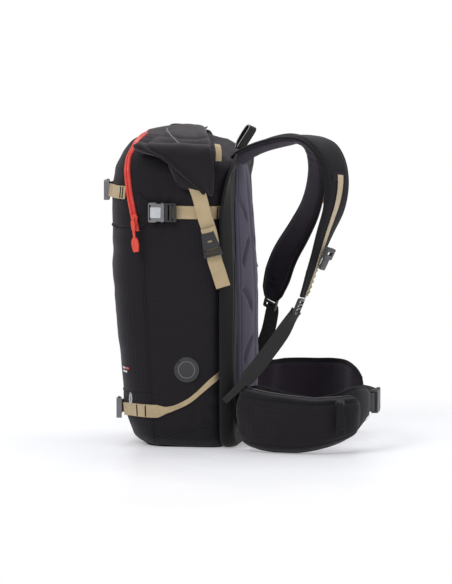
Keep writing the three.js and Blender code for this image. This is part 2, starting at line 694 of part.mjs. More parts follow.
function addHipWing(side, sign, wing) {
  const body = new THREE.Group();
  pack.add(body);
  const face = WING_THICK / 2;
  const pad = wingRings(wing, sign, 0, 1, 18, -face, () => face, 0);
  add(body, `hip_wing_${side}`, loft(pad), blackCloth);
  // the pocket rises from a thin edge at each end to its full depth
  const start = 0.06;
  const end = 0.72;
  const plateau = (u) => Math.min(1, Math.max(0, (u - start) / 0.12), Math.max(0, (end + 0.02 - u) / 0.1));
  const swell = (u) => face + 4 + 21 * Math.sin((Math.PI / 2) * plateau(u));
  const pocket = wingRings(wing, sign, start, end, 14, face + GAP, swell, 4);
  add(body, `hip_pocket_${side}`, loft(pocket), blackCloth);
  return body;
}

function addHipBuckle(rightWing, leftWing) {
  const size = BELT_WEBBING / WIDE_WEBBING;
  const names = { socket: "hip_buckle_socket", plug: "hip_buckle_plug" };
  addBuckle(pack, names, v3(222, -6, BELT_HEIGHT), v3(0, 1, 0), v3(1, 0, 0), size);
  const right = [[217, -58.5, 1, 0], [220, -50, 1, 0], [222, -40, 1, 0]];
  // on the wearer's side of the plug, so that the plug slides out over it
  const left = [[217.4, 19.6, 1, 0.1], [213.6, 34, 0.95, 0.3], [202.5, 58, 0.8, 0.6], [188, 78, 0.8, 0.6]];
  addHipWebbing(rightWing, "right", right);
  addHipWebbing(leftWing, "left", left);
}

// A length of the belt's strap through places {x, y} with outward directions {nx, ny}.
function addHipWebbing(wing, side, places) {
  const stations = places.map(([x, y, nx, ny]) => {
    return { p: v3(x, y, BELT_HEIGHT), n: v3(nx, ny, 0), half: BELT_WEBBING / 2, t: 2.2 };
  });
  add(wing, `hip_webbing_${side}`, ribbon(stations), blackWeb);
}

// ---------- zip sliders ----------
// A slider body with its nose along +x and its pull bridge along +z.
function sliderGeometry(size) {
  const body = plate(mirroredOutline([[-8, 3.2], [4, 6], [9, 4]]), 3.2);
  const bridge = cut(block(-5, -1.8, 1, 5, 1.8, 7), block(-3, -3, 2.2, 3, 3, 5.4));
  return join(body, bridge).scale(size, size, size);
}

function addFrontSlider() {
  const at = (z) => {
    const x = read(FLAP_EDGE, z) + ZIP_BEHIND;
    const lift = 7.5;
    return v3(x, -wallReach(x, z) - lift, z);
  };
  const seat = at(388);
  const along = at(432).sub(seat).normalize();
  const slider = placed(pack, seat, along, v3(-0.25, -0.97, 0));
  add(slider, "front_zip_slider", sliderGeometry(1), redPlastic);
  const pull = placed(slider, v3(-2, 0, 8.4), v3(-1, 0, 0), v3(0, 0, 1));
  const tongue = plate(roundedRect(-1, -3.4, 15, 3.4, 2), 1.8);
  const cord = plate(roundedRect(13, -2, 30, 2, 1.5), 2.4);
  const grip = plate(mirroredOutline([[28, 3], [32, 5.5], [40, 6.5], [52, 4.5]]), 3.4);
  add(pull, "front_zip_pull", join(tongue, cord, grip), redPlastic);
}

// The hip pocket's slider rides along the arc of the pocket's outer face.
function addHipSlider(wing) {
  const angle = rad(-59);
  const out = v3(Math.cos(angle), Math.sin(angle), 0);
  const seat = POCKET_CENTRE.clone().addScaledVector(out, POCKET_RADIUS + 6).setZ(POCKET_ZIP_HEIGHT);
  const slider = placed(wing, seat, v3(-out.y, out.x, 0), out);
  add(slider, "hip_zip_slider", sliderGeometry(0.9), blackPlastic);
  const tab = placed(slider, v3(-2, 0, 7.9), v3(0, -1, 0), v3(0, 0, 1));
  add(tab, "hip_zip_tab", plate(roundedRect(-1, -6, 52, 6, 3), 2.2), blackWeb);
}

// ---------- airbag system, inside against the back ----------
function addAirbagSystem() {
  const folded = plate(roundedRect(-104, -52, 104, 52, 24), 38).applyMatrix4(UPRIGHT);
  add(pack, "airbag", folded, airbagNylon).position.set(-52, 0, 425);
  addCylinderAndValve(-46, -66);
  const hose = [v3(-46, -45.4, 276), v3(-46, -24, 276), v3(-50, 6, 306), v3(-52, 10, 372)];
  add(pack, "inflation_hose", tube(hose, 8, 16), rubber);
  const cable = [
    [-46, -66, 323], [-30, -90, 352], [-21, -108, 390], [-20, -104, 440], [-20, -30, 486], [-20, 36, 486],
  ];
  add(pack, "trigger_cable", tube(cable.map((p) => v3(...p)), 2.5, 30), rubber);
}

// A turned piece that stands on its foot, from a radius against height profile.
function turned(profile, segments) {
  const points = profile.map(([r, z]) => new THREE.Vector2(r, z));
  return new THREE.LatheGeometry(points, segments).rotateX(Math.PI / 2);
}

// The gas cylinder, and over its neck the valve with the pin that pierces it.
function addCylinderAndValve(x, y) {
  const bottle = [[0, 0], [17, 0], [24, 5], [24, 150], [19, 164], [9, 172], [9, 186], [0, 186]];
  add(pack, "gas_cylinder", turned(bottle, 24), cylinderPaint).position.set(x, y, 66);
  const valve = new THREE.Group();
  valve.position.set(x, y, 254);
  pack.add(valve);
  const upright = (radius, z0, z1) => {
    const cylinder = new THREE.CylinderGeometry(radius, radius, z1 - z0, 16);
    return cylinder.rotateX(Math.PI / 2).translate(0, 0, (z0 + z1) / 2);
  };
  const head = join(block(-18, -20, 0, 18, 20, 44), upright(14, 42, 54));
  add(valve, "release_valve", cut(head, upright(4.3, 6, 66)), aluminium);
  const pin = [[0, 0], [1, 2], [4, 8], [4, 44], [6.5, 44.2], [6.5, 48], [0, 48]];
  add(valve, "piercing_pin", turned(pin, 16), aluminium).position.set(0, 0, 18);
}

// ---------- assembly ----------
const flapBody = addBag();
addFrontZip();
addFrontSlider();
addFrontStrap(flapBody, "front", FRONT_STRAP_HEIGHT, -66);
addFrontStrap(pack, "lower", LOWER_STRAP_HEIGHT, -76, lowerTail);
addRollTop();
addBack();
addHaulLoop();
addAirbagSystem();
for (const [side, sign] of [["right", -1], ["left", 1]]) {
  addSideCompression(side, sign);
  addRollEnd(side, sign);
  addShoulderWebbing(side);
}
addShoulderStrap("right", -1, STRAP_RIGHT);
const leftStrap = addShoulderStrap("left", 1, STRAP_LEFT);
addTrigger(leftStrap);
const rightWing = addHipWing("right", -1, WING_RIGHT);
const leftWing = addHipWing("left", 1, WING_LEFT);
addHipBuckle(rightWing, leftWing);
addHipSlider(rightWing);

pack.position.x = BASE_TO_BACK;

export default pack;
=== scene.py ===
"""Looks of the avalanche airbag backpack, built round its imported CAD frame.

Shapes are laid out in millimetres from the point on the ground, at mid-width, in the plane of the
back panel: x towards the wearer, y to the wearer's left, z up. scene() turns them into the frame's
metres.
"""

import math

import bmesh
import bpy
import numpy as np
from mathutils import Matrix, Vector, noise
from mathutils.bvhtree import BVHTree


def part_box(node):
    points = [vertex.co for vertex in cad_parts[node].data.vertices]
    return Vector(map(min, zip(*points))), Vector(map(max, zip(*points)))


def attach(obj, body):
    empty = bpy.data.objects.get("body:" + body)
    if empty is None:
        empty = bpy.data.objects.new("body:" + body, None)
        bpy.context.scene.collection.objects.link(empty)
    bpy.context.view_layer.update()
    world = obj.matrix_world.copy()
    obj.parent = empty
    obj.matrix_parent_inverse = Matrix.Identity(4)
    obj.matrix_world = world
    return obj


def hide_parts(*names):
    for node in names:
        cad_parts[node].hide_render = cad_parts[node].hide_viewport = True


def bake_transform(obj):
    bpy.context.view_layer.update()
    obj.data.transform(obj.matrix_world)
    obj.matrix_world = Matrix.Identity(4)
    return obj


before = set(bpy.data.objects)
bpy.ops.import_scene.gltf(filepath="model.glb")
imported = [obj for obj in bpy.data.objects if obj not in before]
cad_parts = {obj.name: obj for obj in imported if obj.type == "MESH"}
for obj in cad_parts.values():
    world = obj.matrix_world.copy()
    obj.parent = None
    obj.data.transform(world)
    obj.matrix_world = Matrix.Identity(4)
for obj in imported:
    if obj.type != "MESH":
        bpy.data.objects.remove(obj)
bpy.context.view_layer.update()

# ---------- places read from the frame ----------
MM = 0.001
BACK_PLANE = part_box("back_panel")[0].x
ORIGIN = np.array([BACK_PLANE, 0.0, 0.0])
SIDES = (("right", -1), ("left", 1))


def scene(points):
    """Millimetres from the back panel's foot to the frame's metres."""
    return np.asarray(points, float) * MM + ORIGIN


def box_mm(node):
    """A CAD node's lowest and highest corners in millimetres from the back panel's foot."""
    return [(np.array(corner) - ORIGIN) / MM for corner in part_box(node)]


BAG_REAR = box_mm("side_panel_right")[1][0]
BAG_TOP = box_mm("side_panel_right")[1][2]
FLAP_SEAM = box_mm("front_flap")[0][2]
STRAP_LOW, STRAP_HIGH = (corner[2] for corner in box_mm("compression_strap_right"))
STRAP_HEIGHT, STRAP_HALF = (STRAP_LOW + STRAP_HIGH) / 2, (STRAP_HIGH - STRAP_LOW) / 2
FRONT_STRAP_HEIGHT = np.mean([corner[2] for corner in box_mm("front_strap_left")])
LOWER_STRAP_HEIGHT = np.mean([corner[2] for corner in box_mm("lower_buckle_socket")])
ROLL_HIGH = box_mm("roll_top")[1]
ZIP_LINE = -171.5  # depth at which the arch zip crosses the roof


# ---------- curves and tables ----------
def smooth_table(rows, reach=14):
    """A function through [key, value] rows whose corners are rounded off over a reach in millimetres."""
    keys, values = np.array(rows, float).T
    dense = np.arange(keys[0], keys[-1] + 0.5, 0.5)
    raw = np.interp(dense, keys, values)
    window = np.hanning(4 * reach + 3)[1:-1]
    padded = np.pad(raw, 2 * reach, mode="reflect", reflect_type="odd")
    soft = np.convolve(padded, window / window.sum(), mode="valid")
    return lambda key: np.interp(key, dense, soft)


def curve(points, count):
    """Points along a smooth curve through the given points."""
    p = np.array(points, float)
    ends = np.vstack([2 * p[0] - p[1], p, 2 * p[-1] - p[-2]])
    out = []
    for u in np.linspace(0, len(p) - 1, count):
        i = min(int(u), len(p) - 2)
        t = u - i
        a, b, c, d = ends[i : i + 4]
        bend = (2 * a - 5 * b + 4 * c - d) * t**2 + (3 * b - a - 3 * c + d) * t**3
        out.append(0.5 * (2 * b + (c - a) * t + bend))
    return np.array(out)


def unit(vectors):
    return vectors / np.maximum(np.linalg.norm(vectors, axis=-1, keepdims=True), 1e-9)


def tangents(line):
    """Unit directions along a line of points."""
    return unit(np.gradient(line, axis=0))


def lengths(points):
    """Running length along a line of points."""
    return np.concatenate([[0], np.cumsum(np.linalg.norm(np.diff(points, axis=0), axis=1))])


def at(where, keys, rows):
    """Rows of numbers read off between their keys."""
    return np.stack([np.interp(where, keys, column) for column in np.transpose(rows)], axis=-1)


def evenly(count, line, *others):
    """A line cut into even steps of length, and with it the rows of numbers that run along it."""
    run = lengths(line)
    marks = np.linspace(0, run[-1], count)
    return [at(marks, run, rows) for rows in (line, *others)]


def ripple(points, size, seed=0.0):
    """Smooth noise between -1 and 1 at each point, with features of a size in millimetres."""
    flat = np.reshape(points, (-1, 3)) / size + seed
    return np.array([noise.noise(p) for p in flat]).reshape(np.shape(points)[:-1]) * 1.8


def bell(x, centre, width):
    return np.exp(-(((x - centre) / width) ** 2))


# ---------- meshes ----------
def mesh_object(name, points, faces, materials, face_slots=None, uvs=None, sharp=40):
    """A mesh from points in millimetres, with UVs in metres and creases only at sharp edges."""
    mesh = bpy.data.meshes.new(name)
    mesh.from_pydata(scene(points).tolist(), [], faces)
    for material in materials:
        mesh.materials.append(material)
    if face_slots is not None:
        mesh.polygons.foreach_set("material_index", face_slots)
    if uvs is not None:
        layer = mesh.uv_layers.new(name="cloth")
        layer.data.foreach_set("uv", np.asarray(uvs, float).ravel())
    obj = bpy.data.objects.new(name, mesh)
    shade_smooth(obj)
    mesh.set_sharp_from_angle(angle=math.radians(sharp))
    mesh.update()
    bpy.context.scene.collection.objects.link(obj)
    return obj


def shade_smooth(obj):
    """Shades every face of an object smooth."""
    obj.data.polygons.foreach_set("use_smooth", [True] * len(obj.data.polygons))


def grid_faces(rows, columns, u, v, wrap_rows=False, wrap_columns=False, flip=False):
    """Faces and UVs of a grid of points; u runs along the columns and v along the rows."""
    faces, uvs = [], []
    for r in range(rows if wrap_rows else rows - 1):
        for c in range(columns if wrap_columns else columns - 1):
            r1, c1 = (r + 1) % rows, (c + 1) % columns
            corners = [(r * columns + c, u[c], v[r]), (r * columns + c1, u[c + 1], v[r])]
            corners += [(r1 * columns + c1, u[c + 1], v[r + 1]), (r1 * columns + c, u[c], v[r + 1])]
            if flip:
                corners.reverse()
            faces.append([k for k, _, _ in corners])
            uvs += [(a * MM, b * MM) for _, a, b in corners]
    return faces, uvs


def sheet(name, grid, material, thickness=0.0, flip=False, sharp=40, wrap_columns=False):
    """An open cloth surface from rows of points, thickened inwards if asked."""
    rows, columns = grid.shape[:2]
    u, v = lengths(grid[rows // 2]), lengths(grid[:, columns // 2])
    u, v = np.append(u, u[-1] + 1), np.append(v, v[-1] + 1)
    faces, uvs = grid_faces(rows, columns, u, v, wrap_columns=wrap_columns, flip=flip)
    obj = mesh_object(name, grid.reshape(-1, 3), faces, [material], uvs=uvs, sharp=sharp)
    if thickness:
        solid = obj.modifiers.new("cloth", "SOLIDIFY")
        solid.thickness = thickness * MM
        solid.offset = -1
    return obj


def axes_along(points, normals, closed=False):
    """Unit vectors across and out of a strip at each of its points."""
    along = unit(np.roll(points, -1, 0) - np.roll(points, 1, 0)) if closed else tangents(points)
    across = unit(np.cross(along, normals))
    return across, np.cross(across, along)


def sweep(name, points, normals, profile, materials, segment_slots=None, closed=False, sharp=40):
    """A closed profile of (across, out) millimetres, or one for each point, carried along a line."""
    points, normals = np.asarray(points, float), np.asarray(normals, float)
    profile = np.asarray(profile, float)
    if profile.ndim == 2:
        profile = np.repeat(profile[None], len(points), axis=0)
    across, out = axes_along(points, normals, closed)
    ring = points[:, None] + across[:, None] * profile[..., :1] + out[:, None] * profile[..., 1:]
    rows, columns = ring.shape[:2]
    v = np.append(lengths(points), 0)
    v[-1] = v[-2] + 1
    middle = profile[rows // 2]
    u = lengths(np.vstack([middle, middle[:1]]))
    u = np.append(u, u[-1])
    faces, uvs = grid_faces(rows, columns, u, v, wrap_rows=closed, wrap_columns=True)
    slots = [segment_slots[i % columns] if segment_slots is not None else 0 for i in range(len(faces))]
    if not closed:
        faces += [list(range(columns))[::-1], list(range((rows - 1) * columns, rows * columns))]
        uvs += [(0, 0)] * (2 * columns)
        slots += [0, 0]
    obj = mesh_object(name, ring.reshape(-1, 3), faces, materials, slots, uvs, sharp)
    face_outwards(obj)
    return obj


def bead(radius, count=8):
    """A small round section."""
    angles = np.linspace(0, 2 * math.pi, count + 1)[:-1]
    return [(radius * math.cos(a), radius * math.sin(a)) for a in angles]


def vertices_mm(obj):
    """An object's points in millimetres."""
    return (np.array([v.co for v in obj.data.vertices]) - ORIGIN) / MM


def surface_of(obj):
    """The four-sided faces of an object as a tree, for other pieces to settle on."""
    quads = [list(f.vertices) for f in obj.data.polygons if len(f.vertices) == 4]
    return BVHTree.FromPolygons(vertices_mm(obj).tolist(), quads)


def face_outwards(obj):
    """Turns every face of a mesh to look away from its inside."""
    work = bmesh.new()
    work.from_mesh(obj.data)
    bmesh.ops.recalc_face_normals(work, faces=work.faces)
    work.to_mesh(obj.data)
    work.free()


def join(name, objects):
    """One piece out of several meshes."""
    with bpy.context.temp_override(active_object=objects[0], selected_editable_objects=objects):
        bpy.ops.object.join()
    objects[0].name = name
    return objects[0]


def subdivide(obj, levels=1):
    modifier = obj.modifiers.new("smooth", "SUBSURF")
    modifier.levels = modifier.render_levels = levels
    return obj


def dress(obj, body, slot, *nodes):
    """Puts a finished piece on its body, in place of the CAD nodes it stands for."""
    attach(obj, body)
    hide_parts(*nodes)
    return obj


def dress_blend(obj, bodies, start, end, slot, *nodes):
    """Bakes a piece's placement into its mesh and hides the CAD nodes it stands for, without putting it
    on a body.
    """
    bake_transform(obj)
    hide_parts(*nodes)
    return obj


# ---------- materials ----------
class Paint:
    """A material's node tree, with short calls to add nodes."""

    def __init__(self, name):
        self.material = bpy.data.materials.new(name)
        self.material.use_nodes = True
        self.tree = self.material.node_tree
        self.shader = self.tree.nodes["Principled BSDF"]
        self.uv = self.add("TexCoord").outputs["UV"]
        self.place = self.add("TexCoord").outputs["Object"]

    def add(self, kind, inputs=None, **settings):
        node = self.tree.nodes.new("ShaderNode" + kind)
        for key, value in settings.items():
            setattr(node, key, value)
        for key, value in (inputs or {}).items():
            self.set(node, key, value)
        return node

    def set(self, node, key, value):
        if isinstance(value, bpy.types.NodeSocket):
            self.tree.links.new(value, node.inputs[key])
        else:
            node.inputs[key].default_value = value

    def math(self, operation, a, b=0.0, clamp=False):
        return self.add("Math", {0: a, 1: b}, operation=operation, use_clamp=clamp).outputs[0]

    def noise(self, per_metre, detail=2.0, roughness=0.5):
        inputs = {"Vector": self.place, "Scale": per_metre, "Detail": detail, "Roughness": roughness}
        return self.add("TexNoise", inputs).outputs["Fac"]

    def ramp(self, value, low, high, to_low=0.0, to_high=1.0):
        inputs = {"Value": value, "From Min": low, "From Max": high, "To Min": to_low, "To Max": to_high}
        return self.add("MapRange", inputs).outputs["Result"]

    def mix(self, amount, a, b):
        node = self.add("Mix", data_type="RGBA")
        self.set(node, 0, amount)
        self.set(node, 6, a)
        self.set(node, 7, b)
        return node.outputs[2]

    def scale(self, colour, amount):
        return self.add("VectorMath", {0: colour, 3: amount}, operation="SCALE").outputs[0]

    def wave(self, coordinate, pitch):
        """Sine of a coordinate in metres, once up and down over two pitches in millimetres."""
        return self.math("SINE", self.math("MULTIPLY", coordinate, math.pi / (pitch * MM)))

    def finish(self, colour, roughness, height, depth, **shader):
        """Joins colour, roughness and a bump of a depth in millimetres to the shader's inputs."""
        self.set(self.shader, "Base Color", colour)
        self.set(self.shader, "Roughness", roughness)
        bump = self.add("Bump", {"Height": height, "Distance": depth * MM, "Strength": 1.0})
        self.set(self.shader, "Normal", bump.outputs["Normal"])
        for key, value in shader.items():
            self.set(self.shader, key.replace("_", " "), value)
        return self.material


def rgba(colour, factor=1.0):
    return (*[min(1.0, c * factor) for c in colour], 1.0)


def woven(name, colour, pitch=0.9, depth=0.12, sheen=0.12, roughness=0.8, ripstop=0.0, flat=False):
    """Plain-woven cloth: threads, a faint ripstop grid, cloudy colour and paler worn edges."""
    p = Paint(name)
    coordinates = p.add("SeparateXYZ", {0: p.place if flat else p.uv}).outputs
    u, v = (coordinates[0], coordinates[2]) if flat else (coordinates[0], coordinates[1])
    threads = p.math("MULTIPLY", p.wave(u, pitch), p.wave(v, pitch))
    cloud = p.noise(14, 4, 0.6)
    speck = p.noise(1400, 1)
    height = p.math("ADD", p.math("MULTIPLY", threads, 0.5), p.math("MULTIPLY", speck, 0.8))
    if ripstop:
        ribs = p.ramp(p.math("MAXIMUM", p.wave(u, ripstop), p.wave(v, ripstop)), 0.8, 1.0)
        height = p.math("ADD", height, p.math("MULTIPLY", ribs, 1.6))
    shade = p.math("ADD", p.ramp(cloud, 0.3, 0.7, 0.8, 1.2), p.ramp(speck, 0.3, 0.7, -0.2, 0.2))
    if ripstop:
        shade = p.math("ADD", shade, p.math("MULTIPLY", ribs, 0.22))
    base = p.scale(rgba(colour)[:3], shade)
    worn = p.ramp(p.add("NewGeometry").outputs["Pointiness"], 0.52, 0.62, 0.0, 0.22)
    base = p.mix(worn, base, rgba(colour, 3.2))
    rough = p.ramp(cloud, 0.3, 0.7, roughness - 0.06, roughness + 0.06)
    tint = rgba([0.6 + 0.4 * c / max(colour) for c in colour])
    sheen_inputs = dict(Sheen_Weight=sheen, Sheen_Roughness=0.45, Sheen_Tint=tint)
    return p.finish(base, rough, height, depth, Specular_IOR_Level=0.22, **sheen_inputs)


def webbing_cloth(name, colour, dark):
    """Woven strap: ribs across it set off from column to column, with painted shade between the ribs."""
    p = Paint(name)
    u, v, _ = p.add("SeparateXYZ", {0: p.uv}).outputs
    column = p.math("FLOOR", p.math("DIVIDE", u, 2.1 * MM))
    offset = p.math("MULTIPLY", column, 1.9)
    ribs = p.math("SINE", p.math("ADD", p.math("MULTIPLY", v, math.pi / (1.05 * MM)), offset))
    lanes = p.math("ABSOLUTE", p.wave(u, 2.1))
    height = p.math("ADD", p.math("MULTIPLY", ribs, 0.5), p.math("MULTIPLY", lanes, 0.8))
    fibre = p.noise(1100, 2, 0.7)
    cloud = p.noise(45, 3)
    # painted shade: between the ribs the cloth is mixed towards the second, darker colour
    gap = p.math("MULTIPLY", p.ramp(ribs, -1.0, 0.2, 0.55, 0.0), p.ramp(fibre, 0.35, 0.6, 0.4, 1.0))
    base = p.mix(gap, rgba(colour), rgba(dark))
    shade = p.math("MULTIPLY", p.ramp(fibre, 0.25, 0.75, 0.84, 1.12), p.ramp(cloud, 0.3, 0.7, 0.9, 1.08))
    return p.finish(p.scale(base, shade), 0.78, height, 0.22, Sheen_Weight=0.2, Sheen_Roughness=0.5)


def moulded(name, colour, roughness=0.42, grain=0.05, coat=0.0, metallic=0.0):
    """Moulded plastic or metal: fine spark-eroded grain, handling marks and slightly worn edges."""
    p = Paint(name)
    grains = p.noise(2600, 1)
    marks = p.noise(60, 5, 0.65)
    worn = p.ramp(p.add("NewGeometry").outputs["Pointiness"], 0.53, 0.6, 0.0, 0.25)
    shade = p.ramp(marks, 0.3, 0.7, 0.9, 1.1)
    base = p.scale(rgba(colour)[:3], shade)
    base = p.mix(worn, base, rgba([c + 0.06 for c in colour]))
    rough = p.ramp(marks, 0.3, 0.7, roughness - 0.07, roughness + 0.1)
    return p.finish(base, rough, grains, grain, Coat_Weight=coat, Metallic=metallic, Coat_Roughness=0.2)


def brushed_foam(name, colour):
    """Moulded foam with a brushed knit face: short fibres and a soft sheen."""
    p = Paint(name)
    fibres = p.noise(900, 3, 0.7)
    cloud = p.noise(22, 4, 0.6)
    shade = p.math("MULTIPLY", p.ramp(fibres, 0.3, 0.7, 0.9, 1.1), p.ramp(cloud, 0.3, 0.7, 0.9, 1.1))
    base = p.scale(rgba(colour)[:3], shade)
    sheen = dict(Sheen_Weight=0.3, Sheen_Roughness=0.4, Sheen_Tint=rgba([0.72, 0.7, 0.8]))
    return p.finish(base, 0.85, fibres, 0.25, Specular_IOR_Level=0.3, **sheen)


def spacer_mesh(name, colour):
    """Knitted spacer mesh: a lattice of small holes, with painted shade inside them."""
    p = Paint(name)
    u, v, _ = p.add("SeparateXYZ", {0: p.uv}).outputs
    lattice = p.math("MULTIPLY", p.wave(u, 1.6), p.wave(v, 1.6))
    holes = p.ramp(p.math("ABSOLUTE", lattice), 0.45, 0.8)
    cloud = p.noise(30, 3)
    shade = p.ramp(cloud, 0.3, 0.7, 0.88, 1.12)
    # painted shade: the holes are darkened to 0.45 of the mesh's colour
    base = p.mix(holes, rgba(colour), rgba(colour, 0.45))
    base = p.scale(base, shade)
    height = p.math("SUBTRACT", 1.0, holes)
    sheen = dict(Sheen_Weight=0.3, Sheen_Roughness=0.4, Sheen_Tint=rgba([0.75, 0.68, 0.85]))
    return p.finish(base, 0.88, height, 0.3, Specular_IOR_Level=0.25, **sheen)


shell_cloth = woven("shell_cloth", (0.0092, 0.0076, 0.0098), ripstop=4.2)
base_cloth = woven("base_cloth", (0.0078, 0.0068, 0.0086), pitch=1.3, depth=0.2)
roll_cloth = woven("roll_cloth", (0.0105, 0.0082, 0.0108), pitch=0.7, depth=0.08, sheen=0.2)
strap_cloth = woven("strap_cloth", (0.0095, 0.0085, 0.0108), pitch=0.8, depth=0.1, sheen=0.16)
gusset_cloth = woven("gusset_cloth", (0.0085, 0.0084, 0.0086), pitch=1.1, depth=0.15)
binding = woven("binding", (0.0062, 0.0055, 0.0068), pitch=0.6, depth=0.1)
harness_mesh = spacer_mesh("harness_mesh", (0.021, 0.014, 0.024))
back_foam = brushed_foam("back_foam", (0.056, 0.048, 0.080))
badge_rubber = moulded("badge_rubber", (0.028, 0.028, 0.031), 0.5)
zip_tape = woven("zip_tape", (0.030, 0.028, 0.032), pitch=0.8, flat=True)
# this pale cloth also makes the painted highlights along the haul loop's edges
pale_cord_and_highlight = woven("pale_cord_and_highlight", (0.42, 0.42, 0.43), pitch=0.5, flat=True)
# the second colour of each webbing is painted shade between its ribs
pale_webbing = webbing_cloth("pale_webbing", (0.60, 0.49, 0.34), (0.26, 0.20, 0.13))
cord_fabric = woven("cord_fabric", (0.30, 0.235, 0.16), pitch=0.9, depth=0.3, flat=True)
tan_webbing = webbing_cloth("tan_webbing", (0.52, 0.40, 0.235), (0.20, 0.145, 0.08))
black_webbing = webbing_cloth("black_webbing", (0.0098, 0.0092, 0.0105), (0.004, 0.004, 0.005))
black_plastic = moulded("black_plastic", (0.022, 0.022, 0.025))
grey_plastic = moulded("grey_plastic", (0.17, 0.17, 0.18), 0.4)
pale_plastic = moulded("pale_plastic", (0.50, 0.52, 0.55), 0.35)
red_plastic = moulded("red_plastic", (0.70, 0.060, 0.032), 0.38, coat=0.15)
red_coated = moulded("red_coated", (0.66, 0.040, 0.025), 0.36, grain=0.08, coat=0.25)
dark_thread = woven("dark_thread", (0.02, 0.017, 0.016), pitch=0.4, flat=True)
black_thread = woven("black_thread", (0.018, 0.016, 0.020), pitch=0.4, flat=True)
pale_print = moulded("pale_print", (0.62, 0.62, 0.63), 0.5)
# this grey also makes the painted glint along the hip pockets' top edges
zip_grey_and_glint = woven("zip_grey_and_glint", (0.15, 0.15, 0.16), pitch=1.4, depth=0.3, flat=True)
sheet_plastic = moulded("sheet_plastic", (0.62, 0.62, 0.60), 0.45)
airbag_nylon = woven("airbag_nylon", (0.62, 0.13, 0.02), pitch=0.7, depth=0.08, flat=True)
cylinder_paint = moulded("cylinder_paint", (0.30, 0.32, 0.35), 0.3, coat=0.4)
machined = moulded("machined", (0.6, 0.6, 0.62), 0.3, grain=0.02, metallic=1.0)
black_rubber = moulded("black_rubber", (0.015, 0.015, 0.015), 0.6)


# ---------- stitching ----------
def threads(name, starts, ends, normals, material, radius=0.32):
    """Short rounded thread runs between pairs of points, raised a little off the cloth."""
    sides = 5
    ring = bead(1, sides)
    steps = ((0.0, 0.35), (0.2, 1.0), (0.8, 1.0), (1.0, 0.35))
    points, faces = [], []
    for start, end, out in zip(starts, ends, normals):
        across = unit(np.cross(unit(end - start), out))
        base = len(points)
        for share, size in steps:
            middle = start + (end - start) * share
            points += [middle + (across * a + out * b) * radius * size for a, b in ring]
        for row in range(base, base + sides * (len(steps) - 1), sides):
            for i in range(sides):
                j = (i + 1) % sides
                faces.append([row + i, row + j, row + sides + j, row + sides + i])
    return mesh_object(name, np.array(points), faces, [material], sharp=80)


def stitch_line(name, points, normals, material=black_thread, pitch=3.2, lift=0.15):
    """A row of stitches along a line."""
    points, normals = np.asarray(points, float), np.asarray(normals, float)
    run = lengths(points)
    marks = np.arange(0, run[-1], pitch)
    facing = unit(at(marks, run, normals))
    starts = at(marks, run, points) + facing * lift
    ends = at(np.minimum(marks + 0.72 * pitch, run[-1]), run, points) + facing * lift
    return threads(name, starts, ends, facing, material)


def bartack(name, centre, along, out, width, material=dark_thread, length=3.0):
    """A dense block of zigzag stitches across a strap."""
    along, out = unit(np.asarray(along, float)), unit(np.asarray(out, float))
    across = np.cross(out, along)
    steps = np.arange(-width / 2, width / 2, 0.8)
    starts = [centre + across * s - along * length / 2 for s in steps]
    ends = [centre + across * (s + 0.4) + along * length / 2 for s in steps]
    return threads(name, starts, ends, [out] * len(steps), material, radius=0.42)


# ---------- the bag's outline ----------
# Depths and half-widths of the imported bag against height.
front_of = smooth_table(
    [[0, -166], [14, -186], [58, -202], [200, -214], [300, -222], [430, -225], [470, -219], [495, -206],
     [BAG_TOP, -194]], 8,
)
half_of = smooth_table(
    [[0, 112], [14, 131], [58, 139], [150, 145], [300, 146], [430, 144], [470, 138], [495, 128],
     [BAG_TOP, 118]], 8,
)
rear_of = smooth_table(
    [[0, BAG_REAR], [400, BAG_REAR], [442, -19], [468, -12.5], [490, -8], [BAG_TOP, -12]], 8,
)
zip_depth = smooth_table(
    [[FLAP_SEAM, -168], [400, -174], [440, -182], [468, -186], [488, -186], [BAG_TOP, -178],
     [BAG_TOP + 14, ZIP_LINE], [BAG_TOP + 120, ZIP_LINE]], 8,
)
# Depth of the seam between front panel and sides, which leans towards the harness lower down.
seam_depth = smooth_table([[0, -141], [90, -144], [286, -155], [FLAP_SEAM, -158]])
FRONT_POWER, REAR_POWER = 3.4, 9.0  # how square the section's front and rear corners are
ROLL_CREST = ROLL_HIGH[2] - 4
# The roof closes in on a line at the centre's depth, and rises quickly at first.
ROOF_CENTRE, ROOF_RADIUS = -110.0, 84.0
ROOF_RISE, ROOF_EASE = 15.5, 0.145
# The level at which the zip crosses mid-width.
ZIP_PEAK = BAG_TOP + ROOF_RADIUS - (ROOF_CENTRE - ZIP_LINE)


def section(level):
    """Depths, half-width and height of the bag's section.

    The level is a height up the wall, and goes on as the way in over the roof."""
    level = np.asarray(level, float)
    wall = np.minimum(level, BAG_TOP)
    over = np.maximum(level - BAG_TOP, 0) / ROOF_RADIUS
    middle_of = lambda z: (front_of(z) + BAG_REAR) / 2
    drawn_in = lambda depth: ROOF_CENTRE + (depth - ROOF_CENTRE) * (1 - over)
    front, middle, rear = (drawn_in(depth(wall)) for depth in (front_of, middle_of, rear_of))
    z = wall + ROOF_RISE * (1 - np.exp(-over / ROOF_EASE))
    return front, middle, rear, half_of(wall) * (1 - over), z


def bag_point(level, angle):
    """A point of the bag: angle 0 is at the back, positive on the left, and pi at the front."""
    front, middle, rear, half, z = section(level)
    c, s = np.cos(angle), np.sin(angle)
    power = np.where(c < 0, FRONT_POWER, REAR_POWER)
    radius = (np.abs(c) ** power + np.abs(s) ** power) ** (-1 / power)
    x = middle + c * radius * np.where(c < 0, middle - front, rear - middle)
    return np.stack(np.broadcast_arrays(x, s * radius * half, z), axis=-1)


